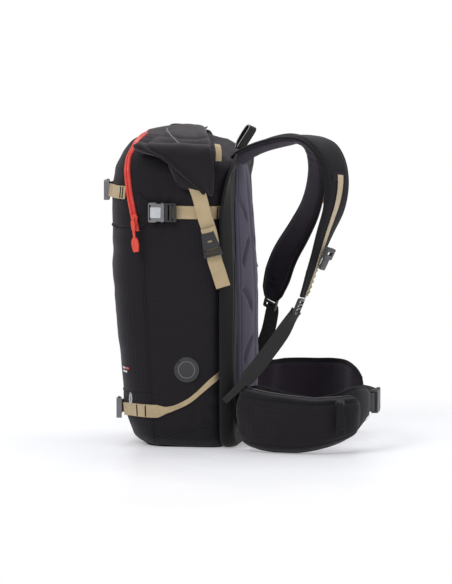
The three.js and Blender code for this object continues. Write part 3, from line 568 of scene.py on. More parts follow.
def angle_at(depth, level):
    """Angle at which the left side of the bag's section passes a depth."""
    front, middle, _, _, _ = section(level)
    share = np.clip((middle - depth) / (middle - front), 0, 1)
    return np.arctan2((1 - share**FRONT_POWER) ** (1 / FRONT_POWER), -share)


def bag_normal(level, angle):
    """Outward direction of the bag at a point."""
    around = bag_point(level, angle + 0.01) - bag_point(level, angle - 0.01)
    up = bag_point(level + 1, angle) - bag_point(level - 1, angle)
    return unit(np.cross(around, up))


def creases(grid):
    """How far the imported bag's cloth stands out from its smooth outline, in millimetres."""
    x, y, z = grid[..., 0], grid[..., 1], grid[..., 2]
    side = np.clip((np.abs(y) - 90) / 40, 0, 1)
    slow = ripple(grid * [1, 1, 0.6], 95, 3.1) * 2.0
    folds = ripple(grid * [0.4, 0.6, 1.5], 36, 7.7) * 1.1
    # folds fan out from the compression buckle, and from where the lower strap climbs
    pull = np.hypot(x + 118, (z - STRAP_HEIGHT) * 1.2)
    fan = np.sin(np.arctan2(z - STRAP_HEIGHT, x + 118) * 9 + 0.6) * bell(pull, 26, 24) * 1.3
    low = np.hypot(x + 60, z - 78)
    fan += np.sin(np.arctan2(z - 78, x + 60) * 7) * bell(low, 24, 22)
    # both straps draw the cloth in
    waist = -2.4 * bell(z, STRAP_HEIGHT, 14) * np.clip((x + 160) / 30, 0, 1)
    waist -= 1.8 * bell(z, LOWER_STRAP_HEIGHT, 16)
    seam = -2.0 * bell(x, seam_depth(z), 3.0) * (z < FLAP_SEAM)
    return slow + folds + side * (fan + waist + seam)


def roof_slope(grid):
    """Lowers the roof behind the roll-top, where the pack slopes down to the harness."""
    x, z = grid[..., 0], grid[..., 2]
    share = np.clip((z - 440) / 70, 0, 1)
    drop = 13 * np.clip((x + 100) / 35, 0, 1) + 11 * np.clip((x + 50) / 24, 0, 1)
    grid[..., 2] = z - share * drop
    return grid


def bag_rows(levels, first, last, columns):
    """Evenly spaced points of the bag between two angles at each level."""
    share = np.linspace(0, 1, 500)
    rows = []
    for level in levels:
        dense = bag_point(level, first(level) + (last(level) - first(level)) * share)
        rows.append(evenly(columns, dense)[0])
    return np.array(rows)


def grid_normals(grid, outwards_from):
    """Directions out of a grid of points, away from a middle point."""
    normals = unit(np.cross(np.gradient(grid, axis=1), np.gradient(grid, axis=0)))
    if np.mean(np.sum(normals * (grid - outwards_from), axis=-1)) < 0:
        normals = -normals
    return normals


BAG_MIDDLE = np.array([-110.0, 0.0, 260.0])
surface_points, surface_faces = [], []


def bag_cloth(name, levels, first, last, columns, slot_of=None, materials=(shell_cloth,)):
    """One panel of the bag, creased, thickened inwards and kept as a surface for straps to lie on."""
    grid = bag_rows(levels, first, last, columns)
    normals = grid_normals(grid, BAG_MIDDLE)
    edge = np.minimum(np.arange(columns), np.arange(columns)[::-1]) / 5
    grid = roof_slope(grid + normals * (creases(grid) * np.minimum(1, edge))[..., None])
    inward = np.dot(np.cross(grid[0, 1] - grid[0, 0], grid[1, 0] - grid[0, 0]), normals[0, 0]) < 0
    obj = sheet(name, grid, materials[0], thickness=2.2, flip=bool(inward))
    if slot_of is not None:
        for extra in materials[1:]:
            obj.data.materials.append(extra)
        middles = grid[:-1, :-1].reshape(-1, 3)
        obj.data.polygons.foreach_set("material_index", slot_of(middles))
    base = len(surface_points)
    surface_points.extend(grid.reshape(-1, 3).tolist())
    surface_faces.extend([[base + k for k in face.vertices] for face in obj.data.polygons])
    return obj


def base_seam_height(x):
    """Height of the seam between base and side cloth, which climbs towards the back."""
    return np.interp(x, [-156, -140, -110, -77, -45, BAG_REAR], [4, 15, 26, 35.6, 42, 46])


def side_edge(level):
    """Depth of the side cloth's front edge: the side seam below the flap, then the zip."""
    share = np.clip((level - FLAP_SEAM + 6) / 12, 0, 1)
    return seam_depth(level) * (1 - share) + (zip_depth(level) - 2) * share


def build_bag():
    """Front panel, flap, sides and base: each panel's edges are depths turned into angles."""

    def edge(depth_of, turn=0, sign=1):
        return lambda level: turn + sign * angle_at(depth_of(level), level)

    def front_cloth(name, levels, depth_of):
        return bag_cloth(name, levels, edge(depth_of), edge(depth_of, 2 * math.pi, -1), 72)

    lower = np.linspace(1, FLAP_SEAM, 90)
    front = front_cloth("front_panel_cloth", lower, seam_depth)
    dress(front, "pack", "pack_cloth", "front_panel")
    hood = [np.linspace(FLAP_SEAM + 1, BAG_TOP, 40), np.linspace(BAG_TOP + 1.5, ZIP_PEAK - 6.5, 9)]
    flap = front_cloth("front_flap_cloth", np.concatenate(hood), lambda level: zip_depth(level) - 5.5)
    dress(flap, "front_flap", "pack_cloth", "front_flap")
    levels = [np.linspace(1, BAG_TOP, 130), BAG_TOP + ROOF_RADIUS * np.linspace(0.02, 0.97, 22)]
    below_seam = lambda p: (p[:, 2] < base_seam_height(p[:, 0])).astype(int)
    right, left = edge(side_edge, 0, -1), edge(side_edge)
    cloths = (shell_cloth, base_cloth)
    sides = bag_cloth("side_panels_cloth", np.concatenate(levels), right, left, 170, below_seam, cloths)
    dress(sides, "pack", "pack_cloth", "side_panel_right", "side_panel_left")
    rim = bag_rows([1], lambda level: -math.pi, lambda level: math.pi, 120)[0]
    middle = np.array([ROOF_CENTRE, 0, 0.3])
    rings = []
    for share in (0.02, 0.3, 0.6, 0.85, 1):
        rings.append(middle + (rim - middle) * [share, share, 1] - [0, 0, 0.7 * (1 - share)])
    bottom = np.array(rings)
    bottom[..., 2] = np.maximum(bottom[..., 2], 0.3)
    base = sheet("base_cloth_sheet", bottom, base_cloth, thickness=1.5, flip=True)
    dress(base, "pack", "pack_cloth", "base_panel")


build_bag()
cloth_surface = BVHTree.FromPolygons(surface_points, surface_faces)


def settle(points, normals, lift, tree=None, reach=45.0, smooth=3):
    """Points moved along their normals to rest on the cloth, never dipping into it."""
    tree = tree or cloth_surface
    heights = []
    for point, out in zip(points, normals):
        start = Vector(point + out * reach)
        hit = tree.ray_cast(start, Vector(-out), 2 * reach)[0]
        heights.append(0.0 if hit is None else reach - (start - hit).length)
    heights = np.array(heights)
    for _ in range(smooth):
        padded = np.pad(heights, 1, mode="edge")
        heights = np.maximum(heights, (padded[:-2] + 2 * padded[1:-1] + padded[2:]) / 4)
    return points + normals * (heights + lift)[:, None]


# ---------- webbing ----------
def flat_profile(half, thick):
    """A flat strap's section with softly rounded edges."""
    t = thick / 2
    lower = [(-half, -t * 0.4), (-half + 0.5, -t), (half - 0.5, -t), (half, -t * 0.4)]
    return lower + [(a, -b) for a, b in reversed(lower)]


def webbing(name, points, normals, half, material, thick=1.8):
    """A woven strap; half is its half width, or one value at each point."""
    half = np.broadcast_to(np.asarray(half, float), len(points))
    profile = [flat_profile(h, thick) for h in half]
    return sweep(name, points, normals, profile, [material], sharp=35)


def on_bag(depths_and_levels, sign, lift, count=40):
    """A smooth line on the bag's side through (depth, level) pairs, with its normals."""
    path = curve(depths_and_levels, count)
    return laid(path[:, 1], [side_angle(x, level) * sign for x, level in path], lift)


def bag_line(levels, angles):
    """Points of the bag at levels and angles, with their outward directions."""
    levels, angles = np.broadcast_arrays(np.asarray(levels, float), angles)
    return bag_point(levels, angles), bag_normal(levels, angles)


def laid(levels, angles, lift):
    """The same, settled on the bag's cloth."""
    points, normals = bag_line(levels, angles)
    return settle(points, normals, lift), normals


def side_angle(depth, level):
    """Angle at which the bag's left side passes a depth, in front of or behind its middle."""
    _, middle, rear, _, _ = section(level)
    if depth < middle:
        return float(angle_at(depth, level))
    share = min(0.9999, (depth - middle) / (rear - middle))
    return math.atan2((1 - share**REAR_POWER) ** (1 / REAR_POWER), share)


def front_angle(y, level):
    """Angle at which the bag's front passes a distance from mid-width: past pi on the right."""
    _, _, _, half, _ = section(level)
    share = min(1.0, abs(y) / half)
    angle = math.atan2(share, -((1 - share**FRONT_POWER) ** (1 / FRONT_POWER)))
    return angle if y >= 0 else 2 * math.pi - angle


def arc_line(first, last, level, lift, count=60):
    """An even line round the bag at one level between two angles, with its normals."""
    angles = np.linspace(first, last, 400)
    dense = bag_point(np.full(400, float(level)), angles)
    _, even = evenly(count, dense, angles[:, None])
    return laid(level, even[:, 0], lift)


def front_line(ys, level, lift):
    """A line round the bag's front at one level through distances from mid-width, with its normals."""
    return laid(level, [front_angle(y, level) for y in ys], lift)


def strap_with_tacks(name, points, normals, half, body, tacks, node):
    """A tan strap with bartacks across it at shares of its length."""
    strap = webbing(name, points, normals, half, tan_webbing)
    marks = []
    for i, share in enumerate(tacks):
        k = int(round(share * (len(points) - 1)))
        k = min(max(k, 1), len(points) - 2)
        width = 2 * (np.broadcast_to(half, len(points))[k] - 1.5)
        along = points[k + 1] - points[k - 1]
        marks.append(bartack(f"{name}_tack_{i}", points[k] + normals[k] * 1.0, along, normals[k], width))
    dress(join(f"{name}_tacks", marks), body, "webbing_tan")
    return dress(strap, body, "webbing_tan", node)


# ---------- zip ----------
def build_zip():
    """The coated arch zip: two rounded lips with the closed teeth between them."""
    wall, roof = np.linspace(FLAP_SEAM - 4, BAG_TOP, 60), np.linspace(BAG_TOP + 2, ZIP_PEAK - 0.4, 12)
    levels = np.concatenate([wall, roof])
    angles = angle_at(zip_depth(levels), levels)
    points, normals = bag_line(np.append(levels, levels[::-1]), np.append(-angles, angles[::-1]))
    points, normals = evenly(170, points, normals)
    normals = unit(normals)
    points = settle(points, normals, 0.4)
    lip = [(5.8, -0.4), (5.7, 1.2), (4.8, 2.8), (3.1, 3.7), (1.5, 3.5), (0.6, 2.4), (0.0, 1.4)]
    profile = [(0.0, -1.0)] + lip + [(-a, b) for a, b in reversed(lip[:-1])]
    zip_band = sweep("front_zip_band", points, normals, profile, [red_coated], sharp=50)
    dress(zip_band, "pack", "zip_red", "front_zip")
    rows = []
    across, _ = axes_along(points, normals)
    for side in (-1, 1):
        line = settle(points + across * side * 7.8, normals, 0.1)
        rows.append(stitch_line(f"zip_stitch_{side}", line, normals, pitch=3.4))
    dress(join("front_zip_stitches", rows), "pack", "pack_cloth")


build_zip()


# ---------- straps on the bag ----------
def strap_starts(prefix):
    """Where each half of a front strap comes out of its buckle."""
    socket, plug = box_mm(f"{prefix}_buckle_socket"), box_mm(f"{prefix}_buckle_plug")
    return {"right": socket[0][1] + 4, "left": plug[1][1] - 12}


def risen(points, normals, height=5.0, reach=3.0):
    """The first few points of a strap lifted to where they leave their buckle."""
    return points + normals * (bell(np.arange(len(points)), 0, reach) * height)[:, None]


def build_upper_front_strap():
    """The strap across the flap runs from the buckle to the zip on each side."""
    level = FRONT_STRAP_HEIGHT
    for side, sign in SIDES:
        start = front_angle(strap_starts("front")[side], level)
        corner = float(angle_at(zip_depth(level) - 7, level))
        points, normals = arc_line(start, corner if sign > 0 else 2 * math.pi - corner, level, 1.3)
        points = risen(points, normals)
        tacks = (0.80, 0.90) if side == "right" else (0.3, 0.36)
        strap_with_tacks(f"front_strap_{side}_webbing", points, normals, STRAP_HALF, "front_flap", tacks,
                         f"front_strap_{side}")


def build_lower_strap():
    """The strap round the bottom of the front, with two tacks just past each corner."""
    for side, sign in SIDES:
        points, normals, widths = lower_strap_line(strap_starts("lower")[side], sign)
        points = risen(points, normals)
        before_corner = np.abs(points[:, 1]) <= 60
        tacks = []
        for x in (-169, -153):
            nearest = np.argmin(np.abs(points[:, 0] - x) + 1000 * before_corner)
            tacks.append(nearest / (len(points) - 1))
        strap_with_tacks(f"lower_strap_{side}_webbing", points, normals, widths, "pack", tacks,
                         f"lower_strap_{side}")


def lower_strap_line(start, sign):
    """The lower strap rounds the front corner, then narrows and climbs along the side to the gusset."""
    level = LOWER_STRAP_HEIGHT
    first = front_angle(start, level)
    corner = float(angle_at(-168, level))
    front, front_normals = arc_line(first, corner if sign > 0 else 2 * math.pi - corner, level, 0, 40)
    rises = [(-162, 0), (-150, 0), (-131, 0), (-112, 3.5), (-95, 10), (-77, 20), (-60, 34), (-43, 50),
             (-28, 62), (BAG_REAR + 4, 64)]
    side, side_normals = on_bag([(x, level + rise) for x, rise in rises], sign, 0, 60)
    points, normals = evenly(90, np.vstack([front, side]), np.vstack([front_normals, side_normals]))
    normals = unit(normals)
    points = settle(points, normals, 1.3)
    depths = [-133, -118, -104, -60, -32, BAG_REAR]
    return points, normals, np.interp(points[:, 0], depths, [STRAP_HALF, 5.6, 4.2, 4.0, 5.5, 7.5])


def build_compression():
    z = STRAP_HEIGHT
    for side, sign in SIDES:
        plug_end = box_mm(f"compression_plug_{side}")[1][0] - 9
        points, normals = on_bag([(x, z) for x in (plug_end, -90, -70, -45, BAG_REAR + 1)], sign, 1.3)
        points = risen(points, normals, 3.6, 4.0)
        strap_with_tacks(f"compression_webbing_{side}", points, normals, STRAP_HALF, "pack", (0.9,),
                         f"compression_strap_{side}")
        build_wedge(side, sign, z)


def build_wedge(side, sign, z):
    """The stitched wedge of cloth that holds the compression buckle's socket."""
    tip = box_mm(f"compression_socket_{side}")[0][0] + 3
    grid, normal_grid = [], []
    for share in np.linspace(0, 1, 14):
        spread = 13 + 17 * (1 - share) ** 1.2
        x = (zip_depth(z) + 9) * (1 - share) + tip * share
        levels = z + spread * np.linspace(-1, 1, 12) * 1.05
        points, normals = bag_line(levels, [side_angle(x, level) * sign for level in levels])
        grid.append(settle(points, normals, 1.5, smooth=6))
        normal_grid.append(normals)
    grid, normal_grid = np.array(grid), np.array(normal_grid)
    wedge = sheet(f"compression_wedge_{side}", grid, shell_cloth, thickness=1.4, flip=sign < 0)
    dress(wedge, "pack", "pack_cloth")
    lines = []
    for k, (column, inner) in enumerate(((0, 1), (-1, -2))):
        line = grid[:, column] * 0.7 + grid[:, inner] * 0.3
        facing = normal_grid[:, column]
        lines.append(stitch_line(f"wedge_stitch_{side}_{k}", line, facing))
        lines.append(sweep(f"wedge_edge_{side}_{k}", grid[:, column], facing, bead(1.3), [binding]))
    dress(join(f"compression_wedge_edges_{side}", lines), "pack", "pack_cloth")


build_upper_front_strap()
build_lower_strap()
build_compression()


# ---------- seams and printed marks on the bag ----------
def build_seams():
    """Piped and stitched seams between the bag's panels."""
    pieces = []
    for side, sign in SIDES:
        levels = np.linspace(6, FLAP_SEAM - 2, 90)
        angles = [side_angle(float(seam_depth(level)), level) * sign for level in levels]
        points, normals = laid(levels, angles, 0.2)
        pieces.append(sweep(f"side_seam_{side}", points, normals, bead(1.1, 6), [binding]))
        across, _ = axes_along(points, normals)
        for k, offset in enumerate((-3.6, 3.6)):
            beside = settle(points + across * offset, normals, 0)
            pieces.append(stitch_line(f"side_seam_stitch_{side}_{k}", beside, normals))
        seam = [(x, float(base_seam_height(x))) for x in np.linspace(-154, BAG_REAR + 2, 12)]
        pieces.append(sweep(f"base_seam_{side}", *on_bag(seam, sign, 0.2), bead(1.2, 6), [binding]))
        above = [(x, z + 4.5) for x, z in seam]
        pieces.append(stitch_line(f"base_seam_stitch_{side}", *on_bag(above, sign, 0)))
    cross = 92
    corner = float(angle_at(seam_depth(cross), cross))
    line = arc_line(corner, 2 * math.pi - corner, cross, 0.2, 120)
    pieces.append(sweep("front_cross_seam", *line, bead(1.0, 6), [binding]))
    hinge = front_line(np.linspace(-118, 118, 70), FLAP_SEAM, 0.4)
    pieces.append(sweep("flap_hinge_seam", *hinge, bead(1.2, 6), [binding]))
    dress(join("bag_seams", pieces), "pack", "pack_cloth")


# Height, start and length of each plain printed bar, with its paint.
PRINTED_BARS = (
    (133.5, -106, 11, pale_print),
    (133.5, -119, 9, red_coated),
    (127.5, -106, 17, pale_print),
)


def build_badge():
    """A plain round badge on the right side, with a grey ring."""
    angle = -side_angle(-82, 135)
    centre, out = bag_point(135, angle), bag_normal(135, angle)
    turns = np.linspace(0, 2 * math.pi, 49)[:-1]
    round_line = np.column_stack([np.cos(turns), np.zeros(48), np.sin(turns)])
    middle = settle(centre[None], out[None], 0)[0]
    flat = lambda radius, rise: middle + round_line * radius + out * rise
    steps = ((21.5, -1.5), (21.2, 1.2), (19.6, 1.6), (18.8, 1.3), (0.1, 1.3))
    rings = np.array([flat(radius, rise) for radius, rise in steps])
    badge = sheet("round_badge", rings, badge_rubber, wrap_columns=True)
    face_outwards(badge)
    dress(badge, "pack", "pack_cloth")
    facing = np.repeat(out[None], 48, 0)
    ring = sweep("badge_ring", flat(14, 1.3), facing, bead(0.6, 6), [grey_plastic], closed=True)
    dress(ring, "pack", "pack_cloth")


def build_marks():
    """The badge, the plain printed bars on the front corner, and the end of the hem cord."""
    build_badge()
    bars = []
    for k, (z, start, long, paint) in enumerate(PRINTED_BARS):
        line = front_line(np.linspace(start, start - long, 14), z, 0.35)
        outline = [(-1.5, -0.2), (1.5, -0.2), (1.5, 0.15), (-1.5, 0.15)]
        bars.append(sweep(f"bar_{k}", *line, outline, [paint]))
    dress(join("printed_bars", bars), "pack", "pack_cloth")
    # the end of the hem cord hangs out as a small loop
    knot = front_line([-122], 92, 1.0)[0][0]
    loop = [(0, 0), (9, -3), (12, -12), (6, -19), (-2, -14), (0, -3)]
    line = curve([knot + np.array([0.25 * a, -0.1 * a, b]) for a, b in loop], 40)
    facing = np.repeat([[-0.7, -0.7, 0.0]], 40, 0)
    dress(sweep("hem_cord_loop", line, facing, bead(1.2, 6), [pale_cord_and_highlight]), "pack", "pack_cloth")


build_seams()
build_marks()


# ---------- roll-top closure ----------
def roll_ring(height, x0, x1, count=40):
    """Section of the rolled cloth across the pack's depth: (depth, rise) from the seat up and back."""
    top = [
        (0.02, 0.0), (0.0, 0.25), (0.0, 0.45), (0.05, 0.61), (0.12, 0.72), (0.25, 0.83), (0.39, 0.925),
        (0.57, 0.98), (0.75, 1.0), (0.9, 0.975), (0.985, 0.88), (1.01, 0.6), (1.0, 0.25), (0.98, 0.0),
    ]
    ring = [(x0 + a * (x1 - x0), b * height) for a, b in curve(top, count)]
    return ring + [(x1 - 8, 0.4), ((x0 + x1) / 2, 0.2), (x0 + 8, 0.4)]


# The roll lies askew: distance from mid-width, then the depths of its front and rear edges.
ROLL_EDGES = [
    [-140, -160, -44], [-100, -163, -50], [-72, -168, -56], [-52, -179, -61], [0, -181, -70],
    [60, -179, -83], [90, -170, -89], [140, -166, -97],
]


def roll_height(y):
    """Height of the roll's crest across the pack."""
    return ROLL_CREST - (ROLL_CREST - BAG_TOP - 2) * 0.72 * np.minimum(1, np.abs(y) / ROLL_HIGH[1]) ** 2


def build_roll_top():
    """The rolled closure across the top, with the two zip strips on its front slope."""
    half = ROLL_HIGH[1] + 7
    seat = BAG_TOP - 10
    ys, fronts, rears = np.array(ROLL_EDGES).T
    rows = []
    for y in np.linspace(-half, half, 96):
        height = (roll_height(y) - seat) * math.sqrt(max(0.02, 1 - abs(y / half) ** 14))
        ring = roll_ring(height, np.interp(y, ys, fronts), np.interp(y, ys, rears))
        rows.append([(x, y, seat + rise) for x, rise in ring])
    grid = np.array(rows)
    folds = ripple(grid * [0.9, 0.25, 1], 26, 2.2) * 1.3 + ripple(grid, 60, 5.0) * 1.4
    # the layers of the roll show as two long steps along its front slope
    x, y, z = grid[..., 0], grid[..., 1], grid[..., 2]
    lower_step = -2.2 * bell(z + 0.02 * y, BAG_TOP + 14, 1.6)
    upper_step = -1.8 * bell(x, -90 - 0.16 * y, 2.4) * (z > BAG_TOP + 8)
    normals = grid_normals(grid, np.array([-115.0, 0, seat + 10]))
    rise = np.clip((z - BAG_TOP + 4) / 8, 0, 1)
    grid = grid + normals * ((folds + lower_step + upper_step) * rise)[..., None]
    roll = sheet("roll_top_cloth", grid, roll_cloth, wrap_columns=True, sharp=60)
    close_ends(roll, grid)
    subdivide(roll)
    dress(roll, "pack", "pack_cloth", "roll_top")
    tree = surface_of(roll)
    for side, sign in SIDES:
        ys = np.linspace(20, half - 3, 40) * sign
        points = np.stack([-133 + 0.0021 * ys**2, ys, np.full(40, BAG_TOP + 12.0)], axis=1)
        normals = np.repeat([[-0.25, 0.15 * sign, 1.0]], 40, axis=0)
        normals[:, 1] += sign * np.linspace(0, 0.8, 40) ** 3
        normals = unit(normals)
        points = settle(points, normals, 0.3, tree, 60)
        edge = [(-4.6, -0.5), (-4.6, 0.5), (-1.2, 0.7), (-0.9, 1.7)]
        tape = edge + [(-a, b) for a, b in reversed(edge)]
        slots = [0, 0, 1, 1, 1, 0, 0, 0]
        strip = sweep(f"roll_zip_{side}", points, normals, tape, [zip_tape, zip_grey_and_glint], slots)
        dress(strip, "pack", "pack_cloth")


def close_ends(obj, grid):
    """Caps a closed tube of rows with one face at each end."""
    rows, columns = grid.shape[:2]
    work = bmesh.new()
    work.from_mesh(obj.data)
    work.verts.ensure_lookup_table()
    for first in (0, (rows - 1) * columns):
        work.faces.new(work.verts[first : first + columns])
    bmesh.ops.recalc_face_normals(work, faces=work.faces)
    work.to_mesh(obj.data)
    work.free()
    shade_smooth(obj)


# The folded end down each side: distance from mid-width, height, front and rear depth, thickness.
ROLL_END = [
    [116, 503, -150, -50, 7],
    [130, 508, -166, -46, 9],
    [143, 507, -173, -42, 10],
    [149.5, 501, -156, -39, 10],
    [152, 493, -126, -36, 10],
    [152.5, 481, -107, -34, 10.5],
    [152.5, 465, -88, -33, 10.5],
    [152, 452, -71, -33.5, 9.5],
    [151, 441, -60, -34.5, 8],
    [150.5, 433.5, -54, -35.5, 6],
    [150.5, 430, -46, -37, 3],
]
# The far end lies further from the harness where it crosses the roof.
ROLL_END_SHIFT = {"right": 0, "left": -45}


def build_roll_end(side, sign):
    """The folded end of the roll, which hangs over the side and narrows to a tip."""
    rows = curve(ROLL_END, 64)
    rows[:, 3] += ROLL_END_SHIFT[side] * np.clip((rows[:, 1] - 440) / 55, 0, 1)
    direction = tangents(rows[:, :2])
    out = np.stack([-direction[:, 1], direction[:, 0]], axis=1)
    out = np.where((out[:, :1] < 0), -out, out)
    turns = np.linspace(0, 2 * math.pi, 61)[:-1]
    grid = []
    for (y, z, front, rear, thick), (oy, oz) in zip(rows, out):
        middle, reach = (front + rear) / 2, (rear - front) / 2
        # near the roof the fold is filled out inwards, down to the bag
        fill = 9 * min(1, max(0, (z - 480) / 22))
        ring = []
        for a in turns:
            c, s = math.cos(a), math.sin(a)
            depth = middle + math.copysign(abs(c) ** 0.55, c) * reach
            room = thick / 2 + (0 if s > 0 else fill)
            rise = thick / 2 + math.copysign(abs(s) ** 0.7, s) * room
            ring.append((depth, sign * (y + oy * rise), z + oz * rise))
        grid.append(ring)
    grid = np.array(grid)
    normals = np.zeros_like(grid)
    normals[..., 1] = sign * out[:, :1]
    normals[..., 2] = out[:, 1:]
    outer = (np.sin(turns) > 0.1)[None]
    u = (grid[..., 0] - rows[:, None, 2]) / (rows[:, None, 3] - rows[:, None, 2])
    down = rows[:, None, 1]
    # folds run from the front corner towards the tip, and a rolled hem follows the front edge
    fold = 1.7 * np.sin(u * 9.5 + (down - 430) * 0.035) * np.clip((515 - down) / 30, 0, 1)
    hem = 1.4 * bell(u, 0.07, 0.05) - 1.6 * bell(u, 0.16, 0.03)
    soft = ripple(grid * [1, 0.5, 1], 30, 4.4 * sign) * 1.1
    grid = grid + normals * ((fold + hem + soft) * outer)[..., None]
    obj = sheet(f"roll_end_cloth_{side}", grid, roll_cloth, wrap_columns=True, sharp=60)
    close_ends(obj, grid)
    start, end = (-100, sign * 126, 510), (-100, sign * 152, 492)
    dress_blend(obj, ("pack", f"roll_end_{side}"), start, end, "pack_cloth", f"roll_end_{side}")


def build_under_fold(side, sign):
    """The darker layer of cloth that shows below the folded end's front edge."""
    upper = curve([(-112, 488, 0), (-90, 470, 0), (-70, 455, 0), (-50, 446, 0)], 30)
    lower = curve([(-107, 475, 0), (-98, 449, 0), (-78, 439, 0), (-57, 436, 0)], 30)
    rows = []
    for share in np.linspace(0, 1, 16):
        edge = upper * (1 - share) + lower * share
        swell = 5.5 * math.sin(math.pi * min(1, 0.25 + share * 0.9)) + 1
        soft = ripple(edge, 18, 3.3) * 0.8
        rows.append(np.column_stack([edge[:, 0], sign * (148.5 + swell + soft), edge[:, 1]]))
    fold = sheet(f"roll_under_fold_{side}", np.array(rows), roll_cloth, thickness=2.5)
    dress(fold, f"roll_end_{side}", "pack_cloth")


def build_roll_strap(side, sign):
    """The tan strap and its lower tail, either side of the hook."""
    half, body = 12.5, f"roll_end_{side}"
    path = [
        (-70, 151.5, 456), (-63, 153.5, 441), (-57, 157, 425), (-50, 157.5, 398), (-44, 154.5, 378),
        (-40, 152, 362), (-34, 151.5, 326), (-26, 154, 302), (-18, 154, 277),
    ]
    line = curve([(x, sign * y, z) for x, y, z in path], 60)
    normals = np.repeat([[0, float(sign), 0.02]], 60, axis=0)
    strap = webbing(f"roll_strap_webbing_{side}", line, normals, half, tan_webbing, 2.0)
    dress(strap, body, "webbing_tan", f"roll_strap_{side}")
    # a second layer is folded over the hook's bar
    above = line[30:40] + np.array([0, sign * 5.0, 0])
    keeper = webbing(f"roll_strap_loop_{side}", above, normals[30:40], half, tan_webbing, 2.0)
    dress(keeper, body, "webbing_tan")
    centre, along = line[3] + normals[3] * 1.1, line[4] - line[2]
    dress(bartack(f"roll_strap_tack_{side}", centre, along, normals[3], 21), body, "webbing_tan")


def build_strap_end():
    """The short sewn end of the roll's strap, behind the roll on the right."""
    line = curve([(-34, -118, 514), (-31, -128, 510), (-29, -134, 500), (-29, -137, 488)], 24)
    normals = unit(curve([(0.3, -0.3, 1), (0.3, -0.7, 0.8), (0.3, -1, 0.4), (0.3, -1, 0.2)], 24))
    end = webbing("roll_strap_end", line, normals, 5, tan_webbing, 2.0)
    dress(end, "pack", "webbing_tan")


build_roll_top()
for side, sign in SIDES:
    build_roll_end(side, sign)
    build_under_fold(side, sign)
    build_roll_strap(side, sign)
build_strap_end()


# ---------- back: gusset, foam panel, haul loop ----------
GUSSET = [[5, 112], [20, 132], [60, 138], [250, 141], [430, 139], [470, 124], [490, 88]]


def gusset_outline(count=220):
    """The back's outline as evenly spaced (y, z) points, with rounded corners."""
    corners = [(60, 494.5), (0, 496), (-60, 494.5)]
    corners = [(half, z) for z, half in GUSSET] + corners + [(-half, z) for z, half in reversed(GUSSET)]
    corners += [(-60, 3), (0, 2.5), (60, 3), (112, 5)]
    return evenly(count + 1, curve(corners, 700))[0][:-1]


def back_lean(z):
    """How far the back leans away from the wearer towards its top."""
    return 9 * np.clip((z - 240) / 245, 0, 1) ** 1.35


def gusset_ring(outline, share):
    """A ring of the gusset, from the bag's rim (share 0) to the drawn-in harness side (share 1)."""
    y, z = outline[:, 0], outline[:, 1]
    inset = share * (8 + 22 * np.clip((z - 150) / 150, 0, 1))
    narrow = np.sign(y) * np.maximum(np.abs(y) - inset, np.minimum(np.abs(y), 40))
    depth = (rear_of(z) + 1) * (1 - share) + (-7 - back_lean(z)) * share
    return np.column_stack([depth, narrow, z - share * 3 * np.clip((z - 440) / 50, 0, 1)])


def build_gusset():
    """The band round the back with piping at both edges, and the cloth across it."""
    outline = gusset_outline()
    middle = np.array([0, 250])
    rings = np.array([gusset_ring(outline, share) for share in np.linspace(0, 1, 9)])
    swell = np.sin(np.linspace(0, math.pi, 9))[:, None] * 2.6
    sides = unit(np.column_stack([np.zeros(len(outline)), outline - middle]))
    rings = rings + sides[None] * (swell + ripple(rings, 60, 1.7) * 0.8)[..., None]
    rings[..., 2] = np.maximum(rings[..., 2], 3.0)  # the gusset rests flat on the ground
    band = sheet("back_gusset_band", rings, gusset_cloth, thickness=2.5, wrap_columns=True, sharp=70)
    face_outwards(band)
    dress(band, "pack", "pack_cloth", "back_gusset")
    trims = []
    for k, (edge, beside) in enumerate(((0, 2), (-1, -2))):
        line = rings[edge] + sides * 0.8
        trims.append(sweep(f"gusset_piping_{k}", line, sides, bead(1.9), [binding], closed=True))
        trims.append(stitch_line(f"gusset_stitch_{k}", rings[beside] + sides * 0.6, sides))
    dress(join("gusset_piping", trims), "pack", "pack_cloth")
    rear = gusset_ring(outline, 1.0)
    rows = []
    for share in (1.0, 0.97, 0.9, 0.75, 0.5, 0.25, 0.02):
        ring = np.column_stack([rear[:, 0], rear[:, 1:] * share + middle * (1 - share)])
        swell = 1.6 * math.sin(math.pi * min(1, (1 - share) * 3) / 2)
        ring[:, 0] = -4.5 - back_lean(ring[:, 2]) + swell + ripple(ring, 70, 8.0) * 0.7
        rows.append(ring)
    back = sheet("back_cloth", np.array(rows), gusset_cloth, thickness=1.5, wrap_columns=True)
    face_outwards(back)
    dress(back, "pack", "pack_cloth")


def build_frame_sheet():
    """The stiff sheet inside the back, which leans with it."""
    low, high = box_mm("frame_sheet")
    bottom, top = low[2] + 4, high[2] - 18
    radius = 26
    rows = []
    for z in np.linspace(bottom, top, 60):
        corner = radius - min(radius, z - bottom, top - z)
        half = float(panel_half(z))
        y = np.linspace(-1, 1, 24) * (half - radius + math.sqrt(radius**2 - corner**2))
        x = -11 - back_lean(z) - 1.2 * np.cos(y / half * math.pi * 2.5)
        rows.append(np.column_stack([x, y, np.full(24, z)]))
    stiff = sheet("frame_sheet_panel", np.array(rows), sheet_plastic, thickness=2.0)
    dress(stiff, "pack", "sheet_plastic", "frame_sheet")


# Half-width of the foam against height.
panel_half = smooth_table(
    [[16, 80], [40, 90], [150, 98], [300, 100], [400, 92], [450, 72], [482, 44]], 10,
)
FOAM_LOW, FOAM_HIGH = 16, 482
FOAM_SEAT = -5.0  # depth at which the foam leaves the back
# Height and tilt in degrees of each moulded groove pair.
CHEVRONS = [(402, 38), (330, -38), (250, 38), (165, -38), (95, 38)]


